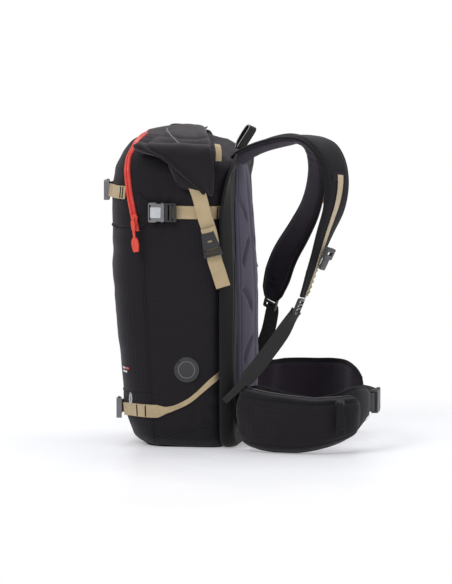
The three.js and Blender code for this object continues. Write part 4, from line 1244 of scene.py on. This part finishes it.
def panel_height(y, z):
    """How far the foam stands out from the back, with its moulded chevrons, channel and rim."""
    half = panel_half(z)
    share = np.abs(y) / half
    from_edge = (1 - share) * half
    ends = np.clip(np.minimum(z - FOAM_LOW, FOAM_HIGH - z) / 26, 0, 1)
    dome = 4 + 14 * (1 - share**2.2) * ends**0.6
    rim = np.clip(from_edge / 7, 0, 1)
    dome = dome * np.sqrt(np.clip(1 - (1 - np.minimum(rim, ends * 3)) ** 2, 0, 1))
    groove = 2.6 * bell(y, 0, 9) * ends
    for centre, tilt in CHEVRONS:
        t = math.radians(tilt)
        dy, dz = np.abs(y) - 52, z - centre
        along = dy * math.cos(t) + dz * math.sin(t)
        across = -dy * math.sin(t) + dz * math.cos(t)
        bow = across + 0.0045 * along**2
        groove = groove + 5.4 * bell(bow, 0, 5.5) * np.clip((36 - np.abs(along)) / 12, 0, 1)
    seam = 1.5 * bell(from_edge, 11, 2.2)
    return np.maximum(dome - (groove + seam) * np.minimum(1, rim), 0.6)


def build_back_panel():
    """The brushed foam panel, with piping round its edge."""
    rows = []
    for z in np.concatenate([[FOAM_LOW], np.linspace(FOAM_LOW + 1, FOAM_HIGH - 1, 150), [FOAM_HIGH]]):
        y = np.sin(np.linspace(-math.pi / 2, math.pi / 2, 96)) * float(panel_half(z))
        thin = 1 - 0.55 * back_lean(z) / 9
        x = panel_height(y, z) * thin + FOAM_SEAT
        x[0] = x[-1] = FOAM_SEAT - 1
        if z in (FOAM_LOW, FOAM_HIGH):
            x[:] = FOAM_SEAT - 1
        rows.append(np.column_stack([x, y, np.full(96, z)]))
    grid = np.array(rows)
    grid[..., 0] += ripple(grid, 45, 6.6) * 0.5 - back_lean(grid[..., 2])
    panel = sheet("back_panel_foam", grid, back_foam, thickness=1.0)
    face_outwards(panel)
    dress(panel, "pack", "back_foam", "back_panel")
    zs = np.linspace(20, 480, 60)
    halves = panel_half(zs)
    zs = np.append(zs, zs[::-1])
    points = np.column_stack([FOAM_SEAT + 0.5 - back_lean(zs), np.append(halves, -halves[::-1]), zs])
    facing = np.repeat([[1.0, 0, 0]], len(points), 0)
    piping = sweep("panel_piping", points, facing, bead(1.9), [binding], closed=True)
    dress(piping, "pack", "back_foam")


def build_haul_loop():
    """A narrow loop of webbing, turned a little towards the right side, with pale beads along its edges
    as painted highlights.
    """
    base = np.array([-17.0, 0, 497])
    shape = [
        (1, 0), (2, 9), (7, 20), (13, 30), (19, 37.5), (24, 38), (25, 33), (20, 24), (13, 13), (8, 5),
        (6, 0),
    ]
    line = curve([(x, 0, z) for x, z in shape], 60)
    tangent = tangents(line)
    normals = np.stack([-tangent[:, 2], np.zeros(60), tangent[:, 0]], axis=1)
    turn = np.array(Matrix.Rotation(math.radians(-40), 3, Vector((0.55, 0, 0.84))))
    line, normals = line @ turn.T + base, normals @ turn.T
    loop = webbing("haul_loop_webbing", line, normals, 9, black_webbing, 1.9)
    dress(loop, "haul_loop", "webbing_black", "haul_loop")
    across, _ = axes_along(line, normals)
    # painted highlight: pale beads along both edges of the loop stand in for the light along them
    edges = []
    for k in (-1, 1):
        edge = line + across * k * 8.8
        edges.append(sweep(f"haul_highlight_{k}", edge, normals, bead(0.75, 6), [pale_cord_and_highlight]))
    dress(join("haul_loop_highlights", edges), "haul_loop", "webbing_black")


build_gusset()
build_frame_sheet()
build_back_panel()
build_haul_loop()


# ---------- shoulder harness ----------
PAD_THICK = 13
PAD_MATERIALS = [strap_cloth, binding, harness_mesh]
# Each strap's middle, the turn of its outer face to the side in degrees, its half-width against its
# length, and where its rail starts.
STRAPS = {
    "right": dict(
        points=[
            [-12, -50, 480], [6, -52, 494], [34, -58, 507], [75, -66, 518], [112, -75, 522],
            [142, -84, 509], [159, -92, 484], [166, -98, 447], [162, -103, 408], [148, -107, 368],
            [135, -110, 330], [122, -112, 292], [110, -114, 257],
        ],
        tilts=[-24, -22, -18, -15, 0, 26, 33, 35, 33, 27, 20, 14, 8],
        widths=[[0, 27], [0.25, 31], [0.5, 31], [0.65, 28], [0.8, 22], [1, 13]],
        rail=0.55,
    ),
    "left": dict(
        points=[
            [6, 52, 494], [34, 58, 505], [66, 66, 510], [90, 76, 500], [102, 86, 474], [103, 95, 434],
            [92, 104, 390], [71, 113, 348], [45, 121, 304], [29, 127, 262], [18, 131, 226],
        ],
        tilts=[8, 12, 15, 22, 30, 36, 40, 46, 52, 55, 52],
        widths=[[0, 27], [0.25, 31], [0.65, 32], [0.88, 31], [0.96, 25], [1, 15]],
        rail=0.70,
    ),
}


def strap_line(side, sign, count=120, start=0.0, end=1.0, lift=0.0):
    """Points, outward directions and half widths along a shoulder strap's middle."""
    data = STRAPS[side]
    dense = curve(np.column_stack([data["points"], data["tilts"]]), 600)
    pick = at(np.linspace(start, end, count) * 599, np.arange(600), dense)
    points, tilts = pick[:, :3], np.radians(pick[:, 3])
    tangent = tangents(points)
    radial = unit(np.cross(tangent, [0.0, 1.0, 0.0]))
    out = radial * np.cos(tilts)[:, None] + np.array([0, sign, 0]) * np.sin(tilts)[:, None]
    out = unit(out - tangent * np.sum(out * tangent, axis=1, keepdims=True))
    half = np.interp(np.linspace(start, end, count), *np.array(data["widths"]).T)
    return points + out * lift, out, half


def pad_section(half, thick, lip=4.6):
    """Section of a padded strap: bound edges, a stitched valley beside each, and full faces.

    Lip is how wide the binding shows on the inner face."""
    t = thick / 2

    def face(bound):
        valley = [(half - bound, 1.9), (half - bound - 1.8, t * 0.66), (half - bound - 4.9, t * 0.86)]
        side = valley + [(half * 0.45, t)]
        return side + [(0, t * 1.04)] + [(-a, b) for a, b in reversed(side)]

    edge = 2.5
    turns = np.linspace(math.pi * 0.62, math.pi * 1.38, 7)
    outer = face(4.6)
    rim = [(edge - half + edge * math.cos(a), edge * math.sin(a)) for a in turns]
    inner = [(a, -b) for a, b in reversed(face(lip))]
    rim_right = [(-a, -b) for a, b in rim]
    slots = [0] * (len(outer) - 1) + [1] * (len(rim) + 1) + [2] * (len(inner) - 1) + [1] * (len(rim) + 1)
    return outer + rim + inner + rim_right, slots


def build_shoulder_strap(side, sign):
    """A padded strap with its binding, stitching and webbing rail."""
    points, out, half = strap_line(side, sign)
    share = np.linspace(0, 1, len(points))
    end = 6 * np.clip((share - 0.9) / 0.1, 0, 1)
    thick = PAD_THICK - end - 4 * np.clip((0.08 - share) / 0.08, 0, 1)
    sections = [pad_section(h, t) for h, t in zip(half, thick)]
    profile = np.array([s for s, _ in sections])
    profile[..., 1] += ripple(points, 50, 2.0 * sign)[:, None] * 0.2
    # the pad buckles into shallow cross folds where it bends over the shoulder
    bend = np.sin(share * 150) * bell(share, 0.38, 0.09) * 0.55
    profile[..., 1] += np.where(profile[..., 1] < -3, bend[:, None], 0)
    pad = sweep(f"shoulder_pad_{side}", points, out, profile, PAD_MATERIALS, sections[0][1], sharp=60)
    body, node = f"strap_{side}", f"shoulder_strap_{side}"
    subdivide(pad)
    if points[0][0] < 0:
        # this pad is sewn in below the top of the back, and bends where it leaves it
        dress_blend(pad, ("pack", body), (-8, 0, 490), (10, 0, 490), "harness_cloth", node)
    else:
        dress(pad, body, "harness_cloth", node)
    across, _ = axes_along(points, out)
    rows = []
    for k, (edge, face) in enumerate(((1, 1), (-1, 1), (1, -1), (-1, -1))):
        line = points + across * (edge * (half - 8.2))[:, None] + out * (face * thick * 0.36)[:, None]
        name = f"pad_stitch_{side}_{k}"
        rows.append(stitch_line(name, line[12:-2], out[12:-2] * face, pitch=3.4, lift=0.3))
    for k, place in enumerate((0.90, 0.925)):
        i = int(place * (len(points) - 1))
        where = points[i] - out[i] * (thick[i] * 0.52)
        along = points[i + 1] - points[i - 1]
        name = f"pad_tack_{side}_{k}"
        rows.append(bartack(name, where, along, -out[i], half[i] * 0.6, black_thread, 3.6))
    if side == "left":
        rows.append(trigger_loop())
    dress(join(f"shoulder_pad_stitching_{side}", rows), body, "harness_cloth")
    build_rail(side, sign, body)


def trigger_loop():
    """The loop of webbing on the left strap that the trigger handle slides in."""
    grip = vertices_mm(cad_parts["trigger_handle"])
    middle = grip.mean(0)
    along = np.linalg.svd(grip - middle, full_matrices=False)[2][0]
    points, out, _ = strap_line("left", 1, 400)
    seat = np.argmin(np.linalg.norm(points - middle, axis=1))
    outwards = unit(middle - points[seat] - along * np.dot(middle - points[seat], along))
    across = np.cross(along, outwards)
    angles = np.linspace(math.radians(-142), math.radians(142), 40)
    ring = [middle + (outwards * math.cos(a) + across * math.sin(a)) * 10.6 for a in angles]
    foot = points[seat] + out[seat] * 5.5
    feet = [foot + across * reach for reach in (-14, -9, 9, 14)]
    line = np.array([*feet[:2], *ring, *feet[2:]])
    return webbing("trigger_loop", line, unit(line - middle), 9, black_webbing, 1.6)


def build_rail(side, sign, body):
    """The tan webbing rail along the outer face, with its keeper and the cord at its lower end."""
    start, face = STRAPS[side]["rail"], PAD_THICK / 2
    points, out, _ = strap_line(side, sign, 60, start, 1.0, face + 1.6)
    share = np.linspace(0, 1, 60)
    across, _ = axes_along(points, out)
    outer = across * np.sign(across[0][0])
    points = points + outer * np.interp(share, [0, 0.3, 0.65, 1], [3, -5, -3, 0])[:, None]
    points = points - out * (3.0 * np.clip((share - 0.75) / 0.25, 0, 1))[:, None]
    widths = np.interp(share, [0, 0.4, 1], [6.5, 4.5, 3])
    rail = webbing(f"strap_rail_webbing_{side}", points, out, widths, pale_webbing, 1.6)
    dress(rail, body, "webbing_tan", f"strap_rail_{side}")
    line, facing, _ = strap_line(side, sign, 6, start - 0.012, start + 0.02, face + 0.4)
    dress(webbing(f"rail_keeper_{side}", line, facing, 15, strap_cloth), body, "webbing_black")
    line, facing, _ = strap_line(side, sign, 90, 0.85, 0.985, face + 1.6)
    across, _ = axes_along(line, facing)
    zigzag = 4.2 * np.arcsin(np.sin(np.linspace(0, 13 * math.pi, 90))) / (math.pi / 2)
    line = line + across * zigzag[:, None]
    dress(sweep(f"rail_cord_{side}", line, facing, bead(1.1, 6), [cord_fabric]), body, "webbing_tan")


def build_shoulder_webbing(side, points, normals, half):
    """The webbing below the ladder lock, which bends from the strap to the bag."""
    line = curve(points, 60)
    facing = unit(curve(normals, 60))
    widths = np.interp(np.linspace(0, 1, 60), *zip(*half))
    strap = webbing(f"shoulder_webbing_strap_{side}", line, facing, widths, black_webbing, 2.0)
    bodies, node = ("pack", f"strap_{side}"), f"shoulder_webbing_{side}"
    dress_blend(strap, bodies, line[34], line[0], "webbing_black", node)


for side, sign in SIDES:
    build_shoulder_strap(side, sign)
build_shoulder_webbing(
    "right",
    [
        (101, -116, 236), (92, -119, 222), (75, -129, 193), (48, -143, 155), (20, -152, 120),
        (-17, -148, 83),
    ],
    [
        (0.85, -0.3, 0.42), (0.85, -0.3, 0.42), (0.55, -0.68, 0.48), (0.2, -0.95, 0.2), (0, -1, 0),
        (0, -1, 0),
    ],
    [(0, 12.5), (0.79, 12.5), (0.83, 6.5), (1, 5.5)],
)
build_shoulder_webbing(
    "left",
    [(23, 134, 219), (20, 138, 204), (12, 145, 170), (-2, 151, 134), (-14, 151, 106)],
    [(0.6, 0.75, 0), (0.3, 0.9, 0), (0.2, 1, 0), (0, 1, 0), (0, 1, 0)],
    [(0, 12.5), (0.7, 12.5), (0.86, 9), (1, 5)],
)


# ---------- hip belt ----------
# Each wing's middle: depth, distance from mid-width, bottom and top.
WINGS = {
    "right": [
        [16, -120, 22, 108], [34, -142, 6, 112], [64, -160, 1, 107], [104, -168, 0, 100],
        [144, -162, 6, 95], [178, -145, 18, 101], [200, -119, 34, 109], [211, -90, 46, 107],
        [216, -62, 54, 96],
    ],
    "left": [
        [16, 120, 24, 125], [34, 142, 12, 125.5], [64, 158, 8, 125], [98, 164, 10, 124.5],
        [128, 155, 16, 126], [150, 134, 27, 125.5], [166, 108, 40, 119], [182, 84, 50, 102],
    ],
}
# Height of the pockets' top edge along their depth.
pocket_top = smooth_table([[-30, 108], [16, 106], [55, 101], [127, 93.5], [170, 93], [230, 96]])
WAIST = np.array([100.0, 0, 0])  # the middle of the belt's loop
WING_THICK = 13
POCKET = (0.02, 0.75)  # shares of the wing's length at which its pocket starts and ends
POCKET_ZIP = 0.93  # share of the way up a pocket's face at which its zip runs


def wing_line(side, sign, count, start=0.0, end=1.0):
    """Points on the ground below a wing, outward directions, and bottom and top along it."""
    pick = at(np.linspace(start, end, count) * 499, np.arange(500), curve(WINGS[side], 500))
    points = np.column_stack([pick[:, 0], pick[:, 1], np.zeros(count)])
    tangent = tangents(points)
    out = unit(np.stack([-sign * tangent[:, 1], sign * tangent[:, 0], np.zeros(count)], axis=1))
    inwards = np.sum(out * (points - WAIST), axis=1, keepdims=True) < 0
    return points, np.where(inwards, -out, out), np.maximum(pick[:, 2], 0.5), pick[:, 3]


def build_wing(side, sign):
    """A padded wing of the hip belt."""
    points, _, low, high = wing_line(side, sign, 110)
    # the pad starts inside the gap beside the back panel
    hidden = np.array([-5.0, sign * 102, 0])
    lead = np.array([points[0] + (hidden - points[0]) * t for t in np.linspace(1, 0.12, 8)])
    points = np.vstack([lead, points])
    low = np.concatenate([np.linspace(34, low[0], 8), low])
    high = np.concatenate([np.linspace(88, high[0], 8), high])
    tangent = tangents(points)
    out = unit(np.cross([0, 0, 1.0], tangent))
    out = out * np.sign(np.sum(out[60] * (points[60] - WAIST)))
    middle, half = (low + high) / 2, (high - low) / 2
    points[:, 2] = middle
    share = np.linspace(0, 1, len(points))
    thick = WING_THICK - 4.5 * np.clip((share - 0.9) / 0.1, 0, 1)
    thick = thick - 5 * np.clip((0.07 - share) / 0.07, 0, 1)
    sections = [pad_section(h, t, 8.5) for h, t in zip(half, thick)]
    profile = np.array([s for s, _ in sections])
    profile[..., 1] += ripple(points, 40, 9.0 + sign)[:, None] * 0.8 * (np.abs(profile[..., 1]) > 3)
    wing = sweep(f"hip_wing_pad_{side}", points, out, profile, PAD_MATERIALS, sections[0][1], sharp=60)
    subdivide(wing)
    start, end = (4, sign * 112, 60), (34, sign * 138, 60)
    dress_blend(wing, ("pack", f"belt_{side}"), start, end, "harness_cloth", f"hip_wing_{side}")
    rows = []
    span = slice(12, -4)
    for k, (z_share, face) in enumerate(((0.84, 1), (-0.84, 1), (0.84, -1), (-0.84, -1), (0.1, -1))):
        line = points + out * (face * (thick * 0.5 + 0.1))[:, None]
        line[:, 2] = middle + half * z_share
        name = f"wing_stitch_{side}_{k}"
        rows.append(stitch_line(name, line[span], out[span] * face, pitch=3.4, lift=0.1))
    dress(join(f"hip_wing_stitching_{side}", rows), f"belt_{side}", "harness_cloth")


def pocket_grid(side, sign, columns=84, rows=44):
    """The bulged outer face of a hip pocket, from its bottom edge up, and its outward directions."""
    points, out, low, high = wing_line(side, sign, columns, *POCKET)
    share = np.linspace(0, 1, columns)
    ends = np.clip(np.minimum(share / 0.14, (1 - share) / 0.14), 0, 1)
    swell = 24 * np.sin(ends * math.pi / 2) ** 0.8
    high = np.minimum(high - 3, pocket_top(points[:, 0]))
    # the corners of the sewn outline are rounded
    tuck = 16 * (1 - np.clip(np.minimum(share, 1 - share) / 0.10, 0, 1)) ** 2
    low, high = low + 1.5 + tuck, high - tuck * 0.6
    grid = []
    for v in np.linspace(0, 1, rows):
        round_off = (1 - abs(2 * v - 1) ** 3.2) ** (1 / 2.2)
        row = points + out * (WING_THICK / 2 - 1.5 + (swell + 3) * round_off)[:, None]
        row[:, 2] = low + (high - low) * v
        grid.append(row)
    return np.array(grid), out


def build_pocket(side, sign):
    """A zipped pocket on the outer face of a wing."""
    grid, out = pocket_grid(side, sign)
    body = f"belt_{side}"
    v = np.linspace(0, 1, grid.shape[0])[:, None]
    u = np.linspace(0, 1, grid.shape[1])[None]
    puff = ripple(grid * [1, 1, 1.4], 26, 11.0 + sign) * 1.2 + ripple(grid, 55, 3.0) * 1.5
    zip_groove = -1.5 * bell(v, POCKET_ZIP, 0.018)
    seam = -1.6 * bell(v, 0.14, 0.02)
    inner = np.minimum(1, np.minimum(v, 1 - v) * 9) * np.minimum(1, np.minimum(u, 1 - u) * 12)
    grid = grid + out[None] * ((puff + seam + zip_groove) * inner)[..., None]
    pocket = sheet(f"hip_pocket_cloth_{side}", grid, shell_cloth, thickness=1.6)
    face_outwards(pocket)
    dress(pocket, body, "pack_cloth", f"hip_pocket_{side}")
    tree = surface_of(pocket)

    def across_pocket(share, ends, lift):
        row = grid[int(share * (grid.shape[0] - 1)), ends:-ends]
        return settle(row, out[ends:-ends], lift, tree), out[ends:-ends]

    edge = [(-5.2, -0.4), (-5.2, 0.7), (-1.5, 1.1), (-0.5, 0.4)]
    tape = edge + [(-a, b) for a, b in reversed(edge)]
    line = across_pocket(POCKET_ZIP, 6, 0.2)
    parts = [sweep(f"pocket_zip_{side}", *line, tape, [binding], sharp=50)]
    for k, share in enumerate((0.14, 0.78)):
        parts.append(stitch_line(f"pocket_stitch_{side}_{k}", *across_pocket(share, 4, 0.1)))
    dress(join(f"hip_pocket_zip_{side}", parts), body, "pack_cloth")
    border, border_out = np.vstack([grid[0], grid[-1][::-1]]), np.vstack([out, out[::-1]])
    name = f"hip_pocket_piping_{side}"
    piping = sweep(name, border, border_out, bead(1.5, 6), [binding], closed=True)
    dress(piping, body, "pack_cloth")
    # painted highlight: a thin grey bead along the top edge stands in for the glint on the zip
    top = grid[-1, 3:-3] + np.array([0, 0, 1.2])
    pale = sweep(f"hip_pocket_glint_{side}", top, out[3:-3], bead(0.8, 6), [zip_grey_and_glint])
    dress(pale, body, "pack_cloth")


def build_hip_webbing():
    """The webbing between each wing and the belt's buckle."""
    lines = {
        "right": [(208, -74, 74), (214, -62, 74), (220, -50, 74), (222, -38, 74)],
        "left": [(217.4, 19.8, 74), (213.6, 34, 74), (202.5, 58, 74), (190, 76, 74), (178, 92, 74)],
    }
    for side, _ in SIDES:
        line = curve(lines[side], 50)
        out = unit(np.cross(tangents(line), [0, 0, 1.0]))
        if np.sum(out[25] * (line[25] - WAIST)) < 0:
            out = -out
        strap = webbing(f"hip_webbing_strap_{side}", line, out, 15, black_webbing, 2.2)
        dress(strap, f"belt_{side}", "webbing_black", f"hip_webbing_{side}")


for side, sign in SIDES:
    build_wing(side, sign)
    build_pocket(side, sign)
build_hip_webbing()


# ---------- hardware: the CAD solids, with softened edges and their own finishes ----------
def finish_hardware(node, material):
    """Rounds a CAD solid's edges with modifiers only, and gives it a finish."""
    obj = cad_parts[node]
    obj.data.materials.clear()
    obj.data.materials.append(material)
    weld = obj.modifiers.new("weld", "WELD")
    weld.merge_threshold = 0.00002
    edge = obj.modifiers.new("edges", "BEVEL")
    edge.width = 0.5 * MM
    edge.segments = 2
    edge.limit_method = "ANGLE"
    edge.angle_limit = math.radians(35)
    edge.harden_normals = False
    edge.use_clamp_overlap = True
    shade = obj.modifiers.new("shade", "WEIGHTED_NORMAL")
    shade.keep_sharp = False
    shade_smooth(obj)


def both(*names):
    """The right and the left node of each name."""
    return [f"{name}_{side}" for name in names for side, _ in SIDES]


FINISHES = {
    grey_plastic: ["front_buckle_socket", "lower_buckle_socket", *both("compression_socket")],
    black_plastic: [
        "front_buckle_plug", "lower_buckle_plug", "hip_buckle_plug", "hip_buckle_socket",
        "hip_zip_slider", *both("compression_plug", "roll_hook", "ladder_lock", "sternum_clip"),
    ],
    red_plastic: ["front_zip_slider", "front_zip_pull", "trigger_handle"],
    airbag_nylon: ["airbag"],
    cylinder_paint: ["gas_cylinder"],
    machined: ["release_valve", "piercing_pin"],
    black_rubber: ["inflation_hose", "trigger_cable"],
}
for material, names in FINISHES.items():
    for name in names:
        finish_hardware(name, material)


def build_zip_tab():
    """The woven pull tab of the hip pocket's zip, tapered, with a tack across its end."""
    points = vertices_mm(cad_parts["hip_zip_tab"])
    middle = points.mean(0)
    along, _, out = np.linalg.svd(points - middle, full_matrices=False)[2]
    if along[2] < 0:
        along = -along
    if out @ (middle - np.array([104, -50, 88])) < 0:
        out = -out
    reach = (points - middle) @ along
    line = middle + along * np.linspace(reach.min(), reach.max(), 24)[:, None]
    facing = np.repeat(out[None], 24, 0)
    tab = webbing("hip_zip_tab_webbing", line, facing, np.linspace(8, 5, 24), binding, 2.2)
    dress(tab, "hip_tab", "webbing_black", "hip_zip_tab")
    tack = bartack("hip_zip_tab_tack", line[4] + out * 1.2, along, out, 10, black_thread)
    dress(tack, "hip_tab", "webbing_black")


def build_buckle_badges():
    """A blank raised badge on each compression buckle's socket."""
    size, corner = 9.0, 1.6
    outline = []
    for cx, cz, turn in ((1, 1, 0), (-1, 1, 90), (-1, -1, 180), (1, -1, 270)):
        middle = np.array([cx, cz]) * (size - corner)
        for a in np.radians(np.linspace(turn, turn + 90, 5)):
            outline.append(middle + corner * np.array([math.cos(a), math.sin(a)]))
    for side, sign in SIDES:
        low, high = box_mm(f"compression_socket_{side}")
        x, _, z = (low + high) / 2
        face = high[1] if sign > 0 else low[1]
        rings = []
        for scale, rise in ((1.0, -0.2), (1.0, 0.5), (0.93, 0.9), (0.86, 0.7), (0.02, 0.7)):
            rings.append([(x - 1 + a * scale, face + sign * rise, z + b * scale) for a, b in outline])
        badge = sheet(f"buckle_badge_{side}", np.array(rings), pale_plastic, wrap_columns=True, sharp=30)
        face_outwards(badge)
        dress(badge, "pack", "buckle_plastic")


build_zip_tab()
build_buckle_badges()


# ---------- floor, light and camera ----------
AZIMUTH, ELEVATION = math.radians(9), math.radians(6)
CAMERA_DISTANCE = 16.0
# The picture's directions: to its right, up, and out of it towards the camera.
RIGHT = np.array([math.cos(AZIMUTH), math.sin(AZIMUTH), 0])
LEVEL_BACK = np.array([math.sin(AZIMUTH), -math.cos(AZIMUTH), 0])
BACK = LEVEL_BACK * math.cos(ELEVATION) + np.array([0, 0, math.sin(ELEVATION)])
UP = np.cross(BACK, RIGHT)


def aim(obj, position, target):
    obj.location = position
    obj.rotation_euler = (Vector(target) - Vector(position)).to_track_quat("-Z", "Y").to_euler()
    bpy.context.scene.collection.objects.link(obj)
    return obj


def area_light(name, position, target, size, power):
    light = bpy.data.lights.new(name, "AREA")
    light.shape = "RECTANGLE"
    light.size, light.size_y = size
    light.energy = power
    aim(bpy.data.objects.new(name, light), position, target)


def build_stage():
    build_floor()
    build_world()
    middle = scene([0, 0, 250])
    area_light("key", middle + RIGHT * -1.6 + UP * 1.9 + BACK * 1.7, middle, (1.6, 1.2), 34)
    area_light("fill", middle + RIGHT * 2.2 + UP * 0.8 + BACK * 1.4, middle, (1.6, 1.6), 14)
    area_light("top", middle + UP * 2.2 - BACK * 0.6, middle, (2.0, 1.4), 30)


def build_floor():
    """A pale, slightly glossy floor that fades into the white backdrop."""
    p = Paint("floor_paint")
    cloud = p.noise(3, 3)
    speck = p.noise(220, 2)
    shade = p.ramp(cloud, 0.3, 0.7, 0.97, 1.0)
    colour = p.scale((0.86, 0.87, 0.93), shade)
    rough = p.ramp(cloud, 0.3, 0.7, 0.26, 0.34)
    material = p.finish(colour, rough, speck, 0.01, Emission_Color=(1, 1, 1, 1), Emission_Strength=0.27)
    under = {0: p.place, 1: scene([-30, 0, 0])}
    distance = p.add("VectorMath", under, operation="DISTANCE").outputs["Value"]
    fade = p.ramp(distance, 0.35, 0.95)
    backdrop = p.add("Emission", {"Color": (1, 1, 1, 1), "Strength": 1.0}).outputs[0]
    mixed = p.add("MixShader", {0: fade, 1: p.shader.outputs[0], 2: backdrop}).outputs[0]
    p.set(p.tree.nodes["Material Output"], "Surface", mixed)
    reach = 12.0
    corners = [(-reach, -reach, 0), (reach, -reach, 0), (reach, reach, 0), (-reach, reach, 0)]
    mesh = bpy.data.meshes.new("floor")
    mesh.from_pydata(corners, [], [(0, 1, 2, 3)])
    mesh.materials.append(material)
    floor = bpy.data.objects.new("floor", mesh)
    bpy.context.scene.collection.objects.link(floor)


def build_world():
    """White to the camera, softer to everything else."""
    world = bpy.data.worlds.new("studio")
    world.use_nodes = True
    tree = world.node_tree
    lamp = tree.nodes["Background"]
    path = tree.nodes.new("ShaderNodeLightPath")
    strength = tree.nodes.new("ShaderNodeMapRange")
    strength.inputs["To Min"].default_value = 0.42
    strength.inputs["To Max"].default_value = 1.0
    tree.links.new(path.outputs["Is Camera Ray"], strength.inputs["Value"])
    tree.links.new(strength.outputs["Result"], lamp.inputs["Strength"])
    lamp.inputs["Color"].default_value = (1, 1, 1, 1)
    bpy.context.scene.world = world


def build_camera():
    """A far camera with a long lens, which sees the pack nearly without perspective."""
    camera = bpy.data.cameras.new("camera")
    camera.lens = 145 * CAMERA_DISTANCE / 4
    camera.sensor_width = 36
    camera.sensor_fit = "AUTO"
    target = ORIGIN + RIGHT * -0.0374 + UP * 0.2516
    obj = bpy.data.objects.new("camera", camera)
    bpy.context.scene.collection.objects.link(obj)
    axes = np.column_stack([RIGHT, UP, BACK, target + BACK * CAMERA_DISTANCE])
    obj.matrix_world = Matrix([*axes.tolist(), [0, 0, 0, 1]])
    bpy.context.scene.camera = obj


build_stage()
build_camera()
bpy.context.scene.view_settings.view_transform = "Standard"
